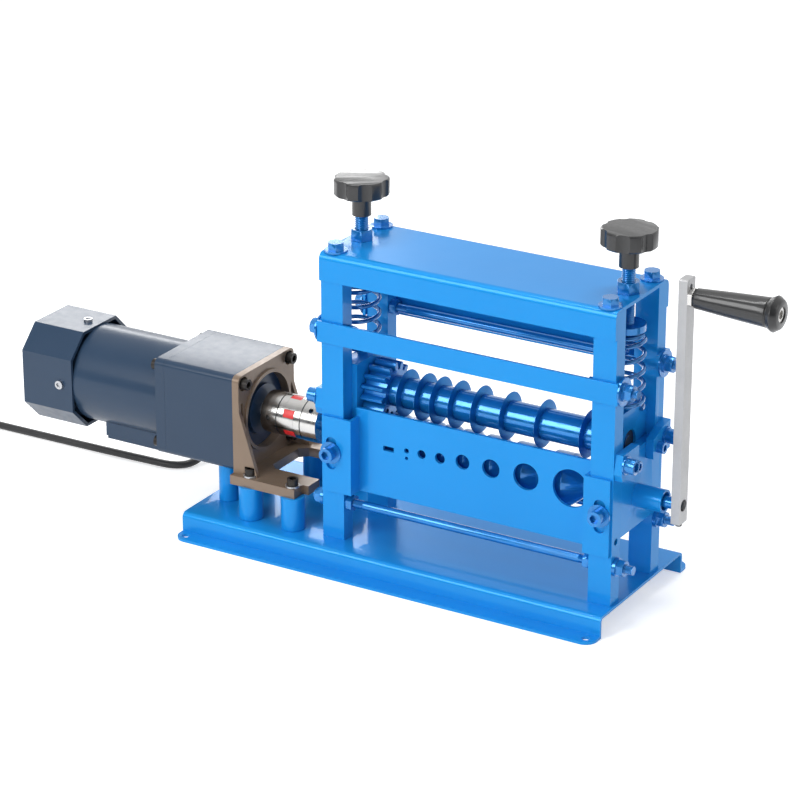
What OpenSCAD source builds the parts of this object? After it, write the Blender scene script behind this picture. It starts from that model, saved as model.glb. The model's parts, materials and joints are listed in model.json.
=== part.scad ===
// Electric wire stripping machine: a bench frame in which a row of round blades on an upper
// shaft turns against a grooved feed roller, driven by a gearmotor or by a hand crank.
// Frame: +X along the shafts towards the crank, +Y to the back, +Z up.
// Origin: on the bench, at the centre of the four bolt holes of the base.

/* [Base] */
// Length of the base sheet along the shafts
base_length = 417; // [380:1:600]
// Width of the raised deck, outside the bends
base_width = 153.2; // [140:0.2:260]
// Height of the deck above the bench
base_height = 20; // [14:1:50]
// Thickness of the folded base sheet
base_sheet = 2.5; // [1.5:0.5:5]
// Width of each bolting flange beyond the deck
foot_flange = 16; // [12:0.5:40]
// Diameter of the four bench bolt holes
foot_hole_d = 7; // [5:0.5:9]
// Distance of a bench bolt hole from the end of the sheet
foot_hole_inset = 9; // [6:0.5:30]

/* [Frame] */
// Distance of the middle of the frame from the middle of the base
frame_x = 65.2; // [40:0.2:80]
// Place of the shaft plane across the base
shaft_y = -9.3; // [-15:0.1:15]
// Distance between the left and right posts, centre to centre
post_pitch_x = 259.8; // [240:0.2:270]
// Distance between the front and rear posts, centre to centre
post_pitch_y = 74.2; // [70:0.2:90]
// Size of a post along the shafts
post_width = 21.4; // [18:0.2:26]
// Size of a post across the shafts
post_depth = 14.8; // [14:0.2:20]
// Height of the top of the frame above the bench
frame_height = 282.5; // [275:0.5:320]
// Thickness of the folded sheet of the top channel and the strips
channel_sheet = 3; // [2:0.5:4]
// Depth of the top channel's front and rear flanges
channel_drop = 25; // [18:1:35]
// Height of the middle of the cross strips
strip_z = 211; // [205:1:225]
// Width of a cross strip
strip_width = 19; // [16:1:26]
// Diameter of the four tie rods
rod_d = 8; // [6:0.5:9]
// Height of the lower front tie rod
front_rod_z = 54; // [45:1:56]
// Height of the lower rear tie rod
rear_rod_z = 70; // [45:1:72]

/* [Shafts and blocks] */
// Height of the lower shaft
lower_shaft_z = 105; // [100:0.5:112]
// Distance between the two shafts when the blades are fully down
shaft_distance = 45.6; // [45.2:0.1:46]
// Diameter of both shafts between the blocks
shaft_d = 15; // [14:0.5:18]
// Diameter of the upper shaft in its bushes
upper_journal_d = 12; // [10:0.5:13]
// Outer diameter of an upper bush
upper_bush_d = 22; // [18:0.5:26]
// Outer diameter of a lower bush
lower_bush_d = 28; // [22:0.5:32]
// Length of a bush
bush_length = 14; // [10:0.5:16]
// Thickness of the sliding upper blocks
block_thickness = 17.7; // [17:0.1:22]
// Thickness of the outer cheek of the lower blocks
cheek_thickness = 8.2; // [8:0.1:10]
// Height of the top of the upper blocks
upper_block_top = 180; // [172:0.5:186]
// Height of the joint between upper and lower blocks
block_split_z = 127.8; // [124:0.2:131]
// Height of the underside of the lower blocks
lower_block_bottom = 77; // [70:1:88]
// Height of the top of the cheeks
cheek_top = 148; // [145:0.5:150]
// How far the upper blocks lift when a cable goes in
blade_lift = 1.6; // [0.8:0.1:1.8]

/* [Gears] */
// Module of the two spur gears
tooth_module = 3; // [2.8:0.1:3.2]
// Tooth count of each spur gear
tooth_count = 15; // [14:1:16]
// Width of each spur gear
gear_width = 21.3; // [12:0.1:21.5]

/* [Blades and feed roller] */
// Diameter of the round blades
blade_d = 42; // [36:0.5:43]
// Thickness of a blade at its hub
blade_thickness = 2; // [1.5:0.1:3]
// Outer diameter of the spacer sleeves between the blades
spacer_d = 27.5; // [22:0.5:32]
// Diameter of the feed roller between its grooves
roller_d = 46; // [40:0.5:47]

/* [Guide plate] */
// Height of the lower edge of the guide plate
plate_bottom = 65; // [62:0.5:72]
// Height of the upper edge of the guide plate between the posts
plate_top = 142; // [136:0.5:150]
// Height of the upper edge of its two ears
ear_top = 134.5; // [125:0.5:136]
// Thickness of the guide plate
plate_sheet = 3; // [2:0.5:3.5]
// Diameter of the largest wire hole
wire_hole_max = 34; // [24:0.5:38]
// Height of the row of wire holes
wire_hole_z = 113; // [108:0.5:118]
// Length of the adjusting slots in the ears
ear_slot_length = 30; // [24:1:34]
// Width of the adjusting slots in the ears
ear_slot_width = 10.5; // [8.5:0.5:12]
// Height of the guide plate screws
guide_screw_z = 102; // [98:0.5:106]

/* [Pressure screws] */
// Distance of each pressure screw from the middle of the frame
knob_offset = 127; // [120:0.5:130]
// Outer diameter of the star knobs
knob_d = 48; // [36:1:60]
// Number of lobes of a star knob
knob_lobes = 7; // [5:1:9]
// Height of the lobed part of a knob
knob_height = 15; // [10:0.5:22]
// Height of a knob's round neck
knob_neck = 18.3; // [10:0.5:30]
// Distance from the lock nut to the knob's neck
knob_gap = 12.2; // [8.5:0.1:20]
// Diameter of the pressure screws
stud_d = 11.8; // [10:0.2:12]
// Height of the underside of the spring seats
seat_z = 250; // [243:0.5:252]
// Outer diameter of the pressure springs
spring_d = 33.5; // [26:0.5:36]
// Wire diameter of the pressure springs
wire_d = 3.8; // [2.5:0.1:4.2]
// Number of turns of a pressure spring
spring_turns = 6; // [5:1:8]

/* [Crank] */
// Distance from the shaft to the grip
crank_radius = 183.6; // [120:1:220]
// Width of the crank lever
lever_width = 14.7; // [14:0.1:20]
// Thickness of the crank lever
lever_thickness = 7.8; // [6:0.2:12]
// Distance from the frame to the lever
lever_standoff = 35; // [30:0.5:50]
// Diameter of the crank end of the lower shaft
crank_shaft_d = 10.4; // [9:0.2:11]
// Diameter of the boss round the crank shaft
boss_d = 20; // [16:0.5:26]
// Length of the boss round the crank shaft
boss_length = 26.2; // [18:0.2:28]
// Length of the turning grip
grip_length = 76; // [60:1:110]
// Largest diameter of the grip's handle
grip_d = 25; // [20:0.5:32]

/* [Gearmotor] */
// Size of the square gearbox
gearbox_size = 90; // [88:0.5:92]
// Length of the gearbox with its motor flange
gearbox_length = 81.8; // [60:0.2:84]
// Thickness of the motor flange at the back of the gearbox
motor_flange = 10; // [8:0.5:14]
// Place of the gearbox's front face along the shafts
gearbox_x = -168; // [-170:0.5:-166]
// How far the gearbox stands out past the motor can on each side
motor_inset = 0.5; // [0:0.1:3]
// Length of the bare motor can
motor_length = 91; // [70:0.5:110]
// How much wider the octagonal fan cover is than the can
fan_cover_over = 3; // [0:0.5:8]
// Length of the fan cover
fan_cover_length = 54.4; // [40:0.2:70]
// Length of the terminal box under the motor
terminal_length = 66; // [50:1:76]
// Width of the terminal box
terminal_width = 53; // [45:1:60]
// How far the terminal box reaches below the motor can
terminal_drop = 7.5; // [5.5:0.5:12]

/* [Motor bracket] */
// Thickness of the bracket's face plate
bracket_plate = 6.8; // [6:0.2:8]
// Width of the face plate beside its round opening
bracket_rim = 11; // [8:0.5:15]
// Height of the upper face of the bracket's foot
foot_top = 59; // [57:0.5:60]
// Thickness of the bracket's foot
foot_thickness = 8.6; // [6:0.2:10]
// Length of the bracket's foot along the shafts
foot_length = 66.8; // [60:0.2:70]
// Width of the bracket's foot
foot_width = 120; // [116:0.5:130]
// Width of the cut-out in the foot
foot_cutout = 56; // [40:0.5:64]
// Diameter of the standoffs under the foot
standoff_d = 21.6; // [14:0.2:24]

/* [Coupling] */
// Outer diameter of the jaw coupling
coupling_d = 38; // [32:0.5:42]
// Length of the whole jaw coupling
coupling_length = 56.6; // [48:0.2:58]
// Place of the coupling's middle along the shafts
coupling_x = -127.6; // [-129:0.1:-127]
// Length of the jaws and the elastic spider
spider_length = 11; // [7:0.5:12]
// Diameter of the gearbox's output shaft
output_shaft_d = 14; // [12:0.5:15]

/* [Cord] */
// Diameter of the mains cord
cord_d = 7; // [6:0.5:7.5]
// Mean diameter of the outermost loop of the put-away coil
coil_d = 100; // [90:1:110]
// Loops in each of the coil's two layers
coil_loops = 2; // [1:1:2]
// Length of the moulded plug
plug_length = 44; // [36:1:50]

/* [Fasteners] */
// Diameter of the large screws
screw_d = 8; // [6:0.5:8]
// Head diameter of the large cap screws
screw_head_d = 13; // [12:0.5:14]
// Head height of the large cap screws
screw_head_h = 8; // [6:0.5:9]
// Diameter of the small screws
small_d = 6; // [4:0.5:6]
// Head diameter of the small cap screws
small_head_d = 10; // [9:0.5:11]
// Head height of the small cap screws
small_head_h = 6; // [5:0.5:7]
// Width across the flats of hexagon heads and nuts
hex_af = 13; // [12:0.5:14]
// Height of hexagon heads and nuts
hex_h = 6.5; // [5:0.5:7]
// Outer diameter of the broad washers
washer_d = 20; // [18:0.5:21]
// Outer diameter of the small washers
small_washer_d = 16; // [14:0.5:17]
// Outer diameter of the extra broad washers on the upper tie rods
rod_washer_d = 24; // [18:0.5:25]
// Thickness of a washer
washer_t = 1.6; // [1:0.2:2.5]

/* [Hidden] */

$fn = 72;

// Overrun of every cut past the face that it opens
over = 1;
// Radial clearance of a screw, rod or fixed piece in its hole
seat_fit = 0.05;
// Radial clearance of a turning shaft in its bush
run_fit = 0.04;
// Clearance of a sliding face against the face that guides it
slide_fit = 0.05;
// Clearance between pieces that turn or slide past each other
pass_gap = 0.3;
// Gap between the blocks at rest
rest_gap = 0.2;

// Paint and metal colours
blue = [0.16, 0.55, 0.93];
steel = [0.72, 0.73, 0.75];
bright = [0.85, 0.86, 0.88];
black = [0.06, 0.06, 0.07];
slate = [0.25, 0.31, 0.4];
bronze = [0.55, 0.47, 0.4];
red = [0.85, 0.1, 0.08];
plastic = [0.1, 0.1, 0.11];

// Posts: centres and faces. Outward places are measured from the middle of the frame.
post_half = post_pitch_x / 2;
out_x = post_half + post_width / 2;
post_ys = [shaft_y - post_pitch_y / 2, shaft_y + post_pitch_y / 2];
post_front = post_ys[0] - post_depth / 2;
post_back = post_ys[1] + post_depth / 2;
bay_front = post_ys[0] + post_depth / 2;
bay_back = post_ys[1] - post_depth / 2;
post_top = frame_height - channel_sheet;
rod_zs = [front_rod_z, rear_rod_z];

// Screws: depth in the piece that holds them, and the spare depth of a blind hole
screw_grip = 10;
hole_spare = 1;
socket_share = 0.56;
hex_base_share = 1.45;
hex_top_share = 1.02;
spare_hole_d = 6;
spare_hole_z = 76.5;

// Base: bend radius and corner radius of the flanges
base_bend = 5;
flange_corner = 11;
foot_hole_x = base_length / 2 - foot_hole_inset;
foot_hole_y = base_width / 2 + foot_flange / 2;

// Top channel and lock nuts
channel_bend = 6;
lock_nut_af = 18;
lock_nut_h = 10;
stud_hole_gap = 0.7;

// Strips: reach of the ears over the posts' outer faces
strip_ear = 20;
strip_ear_reach = strip_ear - channel_sheet;

// Tie rods
rod_end = 17;
rod_reach = out_x + rod_end;
rod_tail = 5;

// Blocks
block_out = out_x - cheek_thickness - pass_gap;
block_in = block_out - block_thickness;
upper_shaft_z = lower_shaft_z + shaft_distance;
lower_inner_top = block_split_z - rest_gap;
bush_recess = 2;
shaft_clear = 0.75;
spring_boss_h = 5;
spring_boss_gap = 0.8;
spring_rings = 8;
spring_r = (spring_d - wire_d) / 2;
spring_boss_d = 2 * spring_r * cos(180 / spring_rings) - wire_d - 2 * spring_boss_gap;
block_edge = 1.2;
pin_boss_d = min(spring_boss_d, 2 * min(block_out - knob_offset, knob_offset - block_in) - block_edge);

// Length between the blocks that gears, roller and blades share
end_float = 0.6;
span_left = frame_x - block_in + end_float;
span_right = frame_x + block_in - end_float;
roller_left = span_left + gear_width + pass_gap;

// Gears
pressure_angle = 20;
pitch_r = tooth_module * tooth_count / 2;
base_r = pitch_r * cos(pressure_angle);
tip_r = pitch_r + tooth_module;
root_share = 1.25;
root_r = pitch_r - root_share * tooth_module;
tooth_step = 360 / tooth_count;

// Blades
blade_edge = 0.3;
blade_bevel = 5;

// Guide plate: its faces, and its lanes as shares of its width and of the largest hole
ear_back = post_front - slide_fit;
ear_front = ear_back - plate_sheet;
plate_front = post_ys[0] + rod_d / 2 + rest_gap;
plate_inset_left = 6;
plate_inset_right = 1.5;
plate_left = frame_x - post_half + post_width / 2 + plate_inset_left;
plate_right = frame_x + post_half - post_width / 2 - plate_inset_right;
ear_inset = 1.5;
ear_out = out_x - ear_inset;
plate_width = plate_right - plate_left;
lane_shares = [0.139, 0.2165, 0.281, 0.359, 0.4545, 0.5735, 0.719, 0.903];
hole_shares = [0.309, 0.138, 0.235, 0.282, 0.394, 0.494, 0.706, 1];
hole_rise_shares = [-0.085, -0.022, -0.022, -0.012, 0.03, 0.03, 0.03, 0];
slot_height_share = 0.132;
second_hole_share = 0.092;
second_drop_share = 0.2;
groove_width_share = 0.9;
groove_depth_share = 0.36;
flat_groove_share = 0.16;

// Retainer plates over the ends of the lower blocks
retainer_t = 7.2;
retainer_bottom = 133.5;
retainer_top = 157;
retainer_reach = 31;
retainer_lean_share = 0.1;
retainer_corner_share = 0.27;
retainer_screw_z = 147;
retainer_small_y = 23;
retainer_small_z = 141.5;

// Pressure screws
neck_d = 16.7;
neck_z = frame_height + lock_nut_h + knob_gap;
lobe_depth = 2.8;
scallop_r = 9;
knob_round = 1.4;
seat_t = 6;
seat_socket = 3;
seat_d = spring_d - wire_d / 2;
stud_tip_z = seat_z + seat_t - seat_socket + slide_fit;
spring_gap = 0.6;
spring_end_gap = 2;

// Crank
lever_x = frame_x + out_x + lever_standoff;
lever_end = 16.1;
lever_corner = 1.2;
lever_recess = 3;
boss_wall = 2;
boss_bore_depth = 12;
grip_z = lower_shaft_z + crank_radius;
collar_af = 15;
collar_length = 4;
grip_x = lever_x + lever_thickness + collar_length + pass_gap;
grip_bolt_head_d = 12.4;
grip_bolt_head_h = 7;
grip_neck_d = 17;
grip_flange_d = 30.4;
grip_end_d = 22;
grip_handle_share = 0.85;
grip_flange_share = 0.93;
grip_groove = 0.7;
grip_edge = 1.2;
lever_hole_d = 4.2;
lever_hole_z = grip_z + 9.5;
set_screw_length = 13.6;
set_screw_d = 5.6;

// Bracket and standoffs
gearbox_z = lower_shaft_z;
gearbox_round = 6;
screw_inset = 8.2;
screw_square = gearbox_size / 2 - screw_inset;
bracket_opening = gearbox_size - 2 * bracket_rim;
bracket_front = gearbox_x + bracket_plate;
bracket_lip = 3;
lip_height = 2;
pocket_depth = 2.4;
pocket_wall = 3;
foot_step = 6;
foot_step_y = 14;
cutout_depth = 20;
cutout_corner = 7;
gusset_t = 4;
gusset_foot = 18;
gusset_top_z = 117.2;
standoff_inset = 17;
standoff_pitch = 44;
standoff_xs = [gearbox_x + standoff_inset, gearbox_x + standoff_inset + standoff_pitch];
standoff_y = 53;
rear_standoff_d = 18;
rear_standoff_inset = 22;
rear_standoff_x = gearbox_x - rear_standoff_inset;
rear_standoff_y = 29;
front_boss_d = 46;
front_boss_h = 4;

// Gearmotor
housing_length = gearbox_length - motor_flange;
flange_x = gearbox_x - gearbox_length;
motor_d = gearbox_size - 2 * motor_inset;
fan_cover_size = motor_d + fan_cover_over;
bell_neck_inset = 4.5;
bell_neck_d = motor_d - 2 * bell_neck_inset;
bell_neck_length = 7;
bell_length = 12;
cover_wall = 3;
cover_chamfer_share = 0.226;
cover_end = flange_x - motor_length - fan_cover_length;
cover_start = cover_end + fan_cover_length;
bell_start = cover_start + slide_fit;
cover_screw_x = cover_start - bell_neck_length - bell_length / 2;
cover_screw_d = 4;
cover_screw_head_d = 8;
cover_screw_head_h = 2.6;
vent_width = 5;
vent_pitch = 11;
vent_count = 5;
vent_height = 46;
terminal_bottom = gearbox_z - motor_d / 2 - terminal_drop;
terminal_gap = 2.6;
terminal_front = -36;
terminal_back = terminal_front + terminal_width;
terminal_right = flange_x - terminal_gap;
terminal_left = terminal_right - terminal_length;
terminal_lid = 3;
terminal_lid_rim = 1;
gland_inset = 9.6;
gland_x = terminal_right - gland_inset;
gland_rise = 8;
gland_z = terminal_bottom + gland_rise;
gland_af = 13;
gland_hex = 5;
gland_dome = 15;
gland_d = 11.4;
gland_length = gland_hex + gland_dome;
gland_thread = 2;

// Coupling
spider_play = 0.15;
arm_width = 7.2;
hub_groove_share = 0.27;
hub_groove = 1;
coupling_turn = 33.7;
hub_turns = [86, 41.6];
hub_screw_d = 4.5;
spider_left = coupling_x - spider_length / 2;
spider_right = coupling_x + spider_length / 2;
hub_left = coupling_x - coupling_length / 2;
hub_right = coupling_x + coupling_length / 2;
hub_length = (coupling_length - spider_length) / 2;
jaw_angle = 30;
jaw_apex = (arm_width / 2 + spider_play) / sin(jaw_angle);
jaw_root = jaw_apex + hub_groove;
spider_core_d = 2 * (jaw_root - 2 * spider_play);

// Mains cord, from its gland to the coil, in real places on the bench
cord_low = cord_d / 2;
cord_route = [
    [gland_x, terminal_back + gland_thread, gland_z], [gland_x, terminal_back + gland_length, gland_z],
    [-262.6, 45, 60], [-264, 54, 56.6], [-266, 62.6, 50.4], [-268.6, 69, 41.6], [-271.4, 71.6, 31.4],
    [-274.6, 69.8, 21], [-278, 64.4, 12.2], [-281.8, 56.8, 6.4], [-286, 48.8, 3.9],
    [-292, 42, cord_low], [-300.5, 37.8, cord_low], [-310, 36.5, cord_low], [-324, 36, cord_low],
    [-340, 35.4, cord_low], [-357, 34.9, cord_low], [-375, 34.5, cord_low], [-393, 34.2, cord_low],
    [-411, 34, cord_low], [-429, 33.8, cord_low], [-447, 33.6, cord_low], [-465, 33.4, cord_low],
    [-483, 33.2, cord_low], [-501, 33.1, cord_low], [-519, 33, cord_low], [-537, 33, cord_low],
    [-549, 33, cord_low], [-560, 33, cord_low]];
cord_sides = 8;
coil_sides = 6;
coil_rings = 24;
coil_play = 0.6;
coil_pitch = cord_d + coil_play;
route_end = cord_route[len(cord_route) - 1];
coil_centre = [route_end[0], route_end[1] - coil_d / 2];
coil_inner = coil_d / 2 - coil_loops * coil_pitch;
coil_half = coil_loops * 360;
coil_total = 2 * coil_half + 180;
coil_rise = 90;
tail_length = 16;
plug_d = 30;
plug_neck_d = 14;
plug_flare = 2.4;
plug_z = plug_d / 2;
pin_d = 4.8;
pin_length = 19;
pin_pitch = 19;

// Shared shapes

module along_x(x, y, z) {
    translate([x, y, z]) rotate([0, 90, 0]) children();
}

module along_y(x, y, z) {
    translate([x, y, z]) rotate([-90, 0, 0]) children();
}

// Left or right half of the frame: children point outwards along +X from its middle
module on_side(side) {
    translate([frame_x, 0, 0]) mirror([side < 0 ? 1 : 0, 0, 0]) children();
}

// Front or rear half of the frame: children point outwards along +Y from the shaft plane
module on_face(face) {
    translate([0, shaft_y, 0]) mirror([0, face < 0 ? 1 : 0, 0]) children();
}

module block(low, high) {
    translate(low) cube(high - low);
}

module ring(outer, inner, length) {
    difference() {
        cylinder(d = outer, h = length);
        translate([0, 0, -over]) cylinder(d = inner, h = length + 2 * over);
    }
}

module hexagon(across, height) {
    cylinder(d = across / cos(30), h = height, $fn = 6);
}

// Cap screw: head above the seat at zero, shank below it
module cap_screw(d, head, head_h, shank) {
    difference() {
        union() {
            cylinder(d = head, h = head_h);
            translate([0, 0, -shank]) cylinder(d = d, h = shank);
        }
        translate([0, 0, head_h / 2]) hexagon(head * socket_share, head_h);
    }
}

// Hexagon head with its corners turned off
module hex_head(across, height) {
    intersection() {
        hexagon(across, height);
        cylinder(d1 = across * hex_base_share, d2 = across * hex_top_share, h = height);
    }
}

function arc(x, y, r, from, to, steps) =
    [for (i = [0:steps]) let (a = from + (to - from) * i / steps) [x + r * cos(a), y + r * sin(a)]];

function rounded(w, h, r) = concat(
    arc(w / 2 - r, h / 2 - r, r, 0, 90, 6), arc(r - w / 2, h / 2 - r, r, 90, 180, 6),
    arc(r - w / 2, r - h / 2, r, 180, 270, 6), arc(w / 2 - r, r - h / 2, r, 270, 360, 6));

// Outline in Y and Z drawn out along X
module profile_x(x, length) {
    translate([x, 0, 0]) rotate([90, 0, 90]) linear_extrude(length) children();
}

// Tube swept along points, with its rings square to the path
function unit(v) = v / norm(v);
function tangent(p, i) = unit(p[min(i + 1, len(p) - 1)] - p[max(i - 1, 0)]);
function carry(n, t) = unit(n - t * (n * t));
function normals(p, i, last) =
    i >= len(p) ? [] : let (n = carry(last, tangent(p, i))) concat([n], normals(p, i + 1, n));
function tube_points(p, r, sides) =
    let (ns = normals(p, 0, [0.01, 0.02, 1]))
    [for (i = [0:len(p) - 1]) let (t = tangent(p, i), n = ns[i], b = cross(t, n))
        for (k = [0:sides - 1]) let (a = 360 * k / sides) p[i] + r * (n * cos(a) + b * sin(a))];
function tube_faces(rings, sides) = concat(
    [for (k = [1:sides - 2]) [0, k, k + 1]],
    [for (i = [0:rings - 2]) for (k = [0:sides - 1]) let (a = i * sides + k,
        b = i * sides + (k + 1) % sides) each [[a, a + sides, b], [b, a + sides, b + sides]]],
    [for (k = [1:sides - 2]) let (e = (rings - 1) * sides) [e, e + k + 1, e + k]]);
module tube(p, d, sides) {
    polyhedron(tube_points(p, d / 2, sides), tube_faces(len(p), sides));
}
function path_length(p) = [for (i = [1:len(p) - 1]) norm(p[i] - p[i - 1])] * [for (i = [1:len(p) - 1]) 1];
// Least gap of a tube to itself between points at least a stretch of rings apart
function own_gap(p, d, apart) =
    min([for (i = [0:len(p) - 1 - apart]) for (j = [i + apart:len(p) - 1]) norm(p[i] - p[j])]) - d;

// Base and frame

function base_profile() = let (w = base_width / 2, f = w + foot_flange, t = base_sheet, h = base_height,
    r = base_bend) concat(
        [[-f, 0], [t - w, 0]], arc(r - w, h - r, r - t, 180, 90, 4), arc(w - r, h - r, r - t, 90, 0, 4),
        [[w - t, 0], [f, 0], [f, t], [w, t]], arc(w - r, h - r, r, 0, 90, 4),
        arc(r - w, h - r, r, 90, 180, 4), [[-w, t], [-f, t]]);

module flange_corners() {
    for (sx = [-1, 1]) for (sy = [-1, 1])
        mirror([sx < 0 ? 1 : 0, 0, 0]) mirror([0, sy < 0 ? 1 : 0, 0])
            translate([base_length / 2 - flange_corner,
                base_width / 2 + foot_flange - flange_corner, -over])
                difference() {
                    cube([flange_corner + over, flange_corner + over, base_sheet + 2 * over]);
                    translate([0, 0, -over]) cylinder(r = flange_corner, h = base_sheet + 4 * over);
                }
}

// Places of the screws that come up through the deck
deck_screws = concat(
    [for (x = [frame_x - post_half, frame_x + post_half]) for (y = post_ys) [x, y]],
    [for (x = standoff_xs) for (y = [-standoff_y, standoff_y]) [x, y]],
    [for (y = [-rear_standoff_y, rear_standoff_y]) [rear_standoff_x, y]]);

module base_plate() {
    color(blue) difference() {
        profile_x(-base_length / 2, base_length) polygon(base_profile());
        flange_corners();
        for (x = [-foot_hole_x, foot_hole_x]) for (y = [-foot_hole_y, foot_hole_y])
            translate([x, y, -over]) cylinder(d = foot_hole_d, h = base_sheet + 2 * over);
        for (p = deck_screws)
            translate([p[0], p[1], base_height - base_sheet - over])
                cylinder(d = screw_d + 2 * seat_fit, h = base_sheet + 2 * over);
    }
}

module base_screws() {
    color(steel) for (p = deck_screws)
        translate([p[0], p[1], base_height - base_sheet]) rotate([180, 0, 0])
            cap_screw(screw_d, screw_head_d, screw_head_h, base_sheet + screw_grip);
}

// One post: side is -1 left or 1 right, face is -1 front or 1 rear
module post(side, face) {
    low_z = face < 0 ? front_rod_z : rear_rod_z;
    hole = screw_d + 2 * seat_fit;
    depth = screw_grip + hole_spare;
    color(blue) on_side(side) on_face(face) difference() {
        block([post_half - post_width / 2, post_pitch_y / 2 - post_depth / 2, base_height],
            [out_x, post_pitch_y / 2 + post_depth / 2, post_top]);
        for (z = [low_z, strip_z])
            along_x(post_half - post_width / 2 - over, post_pitch_y / 2, z)
                cylinder(d = rod_d + 2 * seat_fit, h = post_width + 2 * over);
        for (z = [base_height - over, post_top - depth])
            translate([post_half, post_pitch_y / 2, z]) cylinder(d = hole, h = depth + over);
        along_x(out_x - depth, post_pitch_y / 2, retainer_screw_z) cylinder(d = hole, h = depth + over);
        if (face < 0) {
            along_y(post_half, post_pitch_y / 2 + post_depth / 2 - depth, guide_screw_z)
                cylinder(d = hole, h = depth + over);
            along_x(out_x - depth, post_pitch_y / 2, spare_hole_z)
                cylinder(d = spare_hole_d, h = depth + over);
        }
    }
}

module post_front_left() {
    post(-1, -1);
}

module post_front_right() {
    post(1, -1);
}

module post_rear_left() {
    post(-1, 1);
}

module post_rear_right() {
    post(1, 1);
}

function channel_profile() = let (y0 = post_front - channel_sheet, y1 = post_back + channel_sheet,
    h = frame_height, t = channel_sheet, r = channel_bend, low = h - channel_drop) concat(
        [[y0, low]], [[y0, h - r]], arc(y0 + r, h - r, r, 180, 90, 4), arc(y1 - r, h - r, r, 90, 0, 4),
        [[y1, low], [y1 - t, low]], [[y1 - t, h - t], [y0 + t, h - t]], [[y0 + t, low]]);

module top_channel() {
    color(blue) difference() {
        profile_x(frame_x - out_x, 2 * out_x) polygon(channel_profile());
        for (side = [-1, 1]) on_side(side) {
            for (y = post_ys)
                translate([post_half, y, post_top - over])
                    cylinder(d = screw_d + 2 * seat_fit, h = channel_sheet + 2 * over);
            translate([knob_offset, shaft_y, post_top - over])
                cylinder(d = stud_d + 2 * stud_hole_gap, h = channel_sheet + 2 * over);
        }
    }
}

module channel_bolts() {
    color(bright) for (side = [-1, 1]) on_side(side) for (y = post_ys)
        translate([post_half, y, frame_height]) {
            cylinder(d = washer_d, h = washer_t);
            translate([0, 0, washer_t]) hex_head(hex_af, hex_h);
            translate([0, 0, -channel_sheet - screw_grip])
                cylinder(d = screw_d, h = channel_sheet + screw_grip + washer_t);
        }
}

module channel_nuts() {
    color(blue) for (side = [-1, 1]) on_side(side) translate([knob_offset, shaft_y, frame_height])
        difference() {
            hex_head(lock_nut_af, lock_nut_h);
            translate([0, 0, -over]) cylinder(d = stud_d + 2 * run_fit, h = lock_nut_h + 2 * over);
        }
}

// Cross strip with its ends folded back over the posts' outer faces
module strip(face) {
    low = strip_z - strip_width / 2;
    high = strip_z + strip_width / 2;
    outer = post_pitch_y / 2 + post_depth / 2;
    color(blue) on_face(face) difference() {
        block([frame_x - out_x - channel_sheet, outer - strip_ear_reach, low],
            [frame_x + out_x + channel_sheet, outer + channel_sheet, high]);
        block([frame_x - out_x, outer - strip_ear_reach - over, low - over],
            [frame_x + out_x, outer, high + over]);
        along_x(frame_x - out_x - channel_sheet - over, post_pitch_y / 2, strip_z)
            cylinder(d = rod_d + 2 * seat_fit, h = 2 * (out_x + channel_sheet + over));
    }
}

module front_strip() {
    strip(-1);
}

module rear_strip() {
    strip(1);
}

// Tie rods: height of each and the sheet between post and outer nut
tie_rows = [for (i = [0, 1]) each [[post_ys[i], rod_zs[i], 0, small_washer_d],
    [post_ys[i], strip_z, channel_sheet, rod_washer_d]]];

module tie_rods() {
    color(blue) for (row = tie_rows)
        along_x(frame_x - rod_reach + rod_tail, row[0], row[1])
            cylinder(d = rod_d, h = 2 * rod_reach - rod_tail);
}

module tie_rod_nuts() {
    color(blue) for (side = [-1, 1]) on_side(side) for (row = tie_rows) {
        along_x(out_x + row[2], row[0], row[1]) {
            ring(row[3], rod_d + 2 * seat_fit, washer_t);
            translate([0, 0, washer_t - over]) ring(small_washer_d, rod_d + 2 * seat_fit, washer_t + over);
            translate([0, 0, 2 * washer_t]) nut();
        }
        along_x(post_half - post_width / 2 - hex_h, row[0], row[1]) nut();
    }
}

module nut() {
    difference() {
        hex_head(hex_af, hex_h);
        translate([0, 0, -over]) cylinder(d = rod_d + 2 * seat_fit, h = hex_h + 2 * over);
    }
}

// Blocks and bushes

module lower_block(side) {
    front = bay_front + slide_fit;
    back = bay_back - slide_fit;
    cheek_in = out_x - cheek_thickness;
    through = side < 0 ? shaft_d + 2 * shaft_clear : crank_shaft_d + 2 * shaft_clear;
    color(blue) on_side(side) difference() {
        union() {
            block([block_in, front, lower_block_bottom], [cheek_in + over, back, lower_inner_top]);
            block([cheek_in, front, lower_block_bottom], [out_x, back, cheek_top]);
            if (side > 0)
                along_x(out_x - over, shaft_y, lower_shaft_z) cylinder(d = boss_d, h = boss_length + over);
        }
        along_x(block_in - over, shaft_y, lower_shaft_z)
            cylinder(d = lower_bush_d + 2 * seat_fit, h = bush_length + over);
        along_x(block_in, shaft_y, lower_shaft_z)
            cylinder(d = through, h = out_x + boss_length + over - block_in);
        if (side > 0)
            along_x(out_x + boss_length - boss_bore_depth, shaft_y, lower_shaft_z)
                cylinder(d = boss_d - 2 * boss_wall, h = boss_bore_depth + over);
        for (face = [-1, 1]) on_face(face)
            along_x(cheek_in + channel_sheet, retainer_small_y, retainer_small_z)
                cylinder(d = small_d + 2 * seat_fit, h = cheek_thickness);
    }
}

module lower_block_left() {
    lower_block(-1);
}

module lower_block_right() {
    lower_block(1);
}

module lower_bushes() {
    color(steel) for (side = [-1, 1]) on_side(side) along_x(block_in, shaft_y, lower_shaft_z)
        ring(lower_bush_d, shaft_d + 2 * run_fit, bush_length);
}

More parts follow.
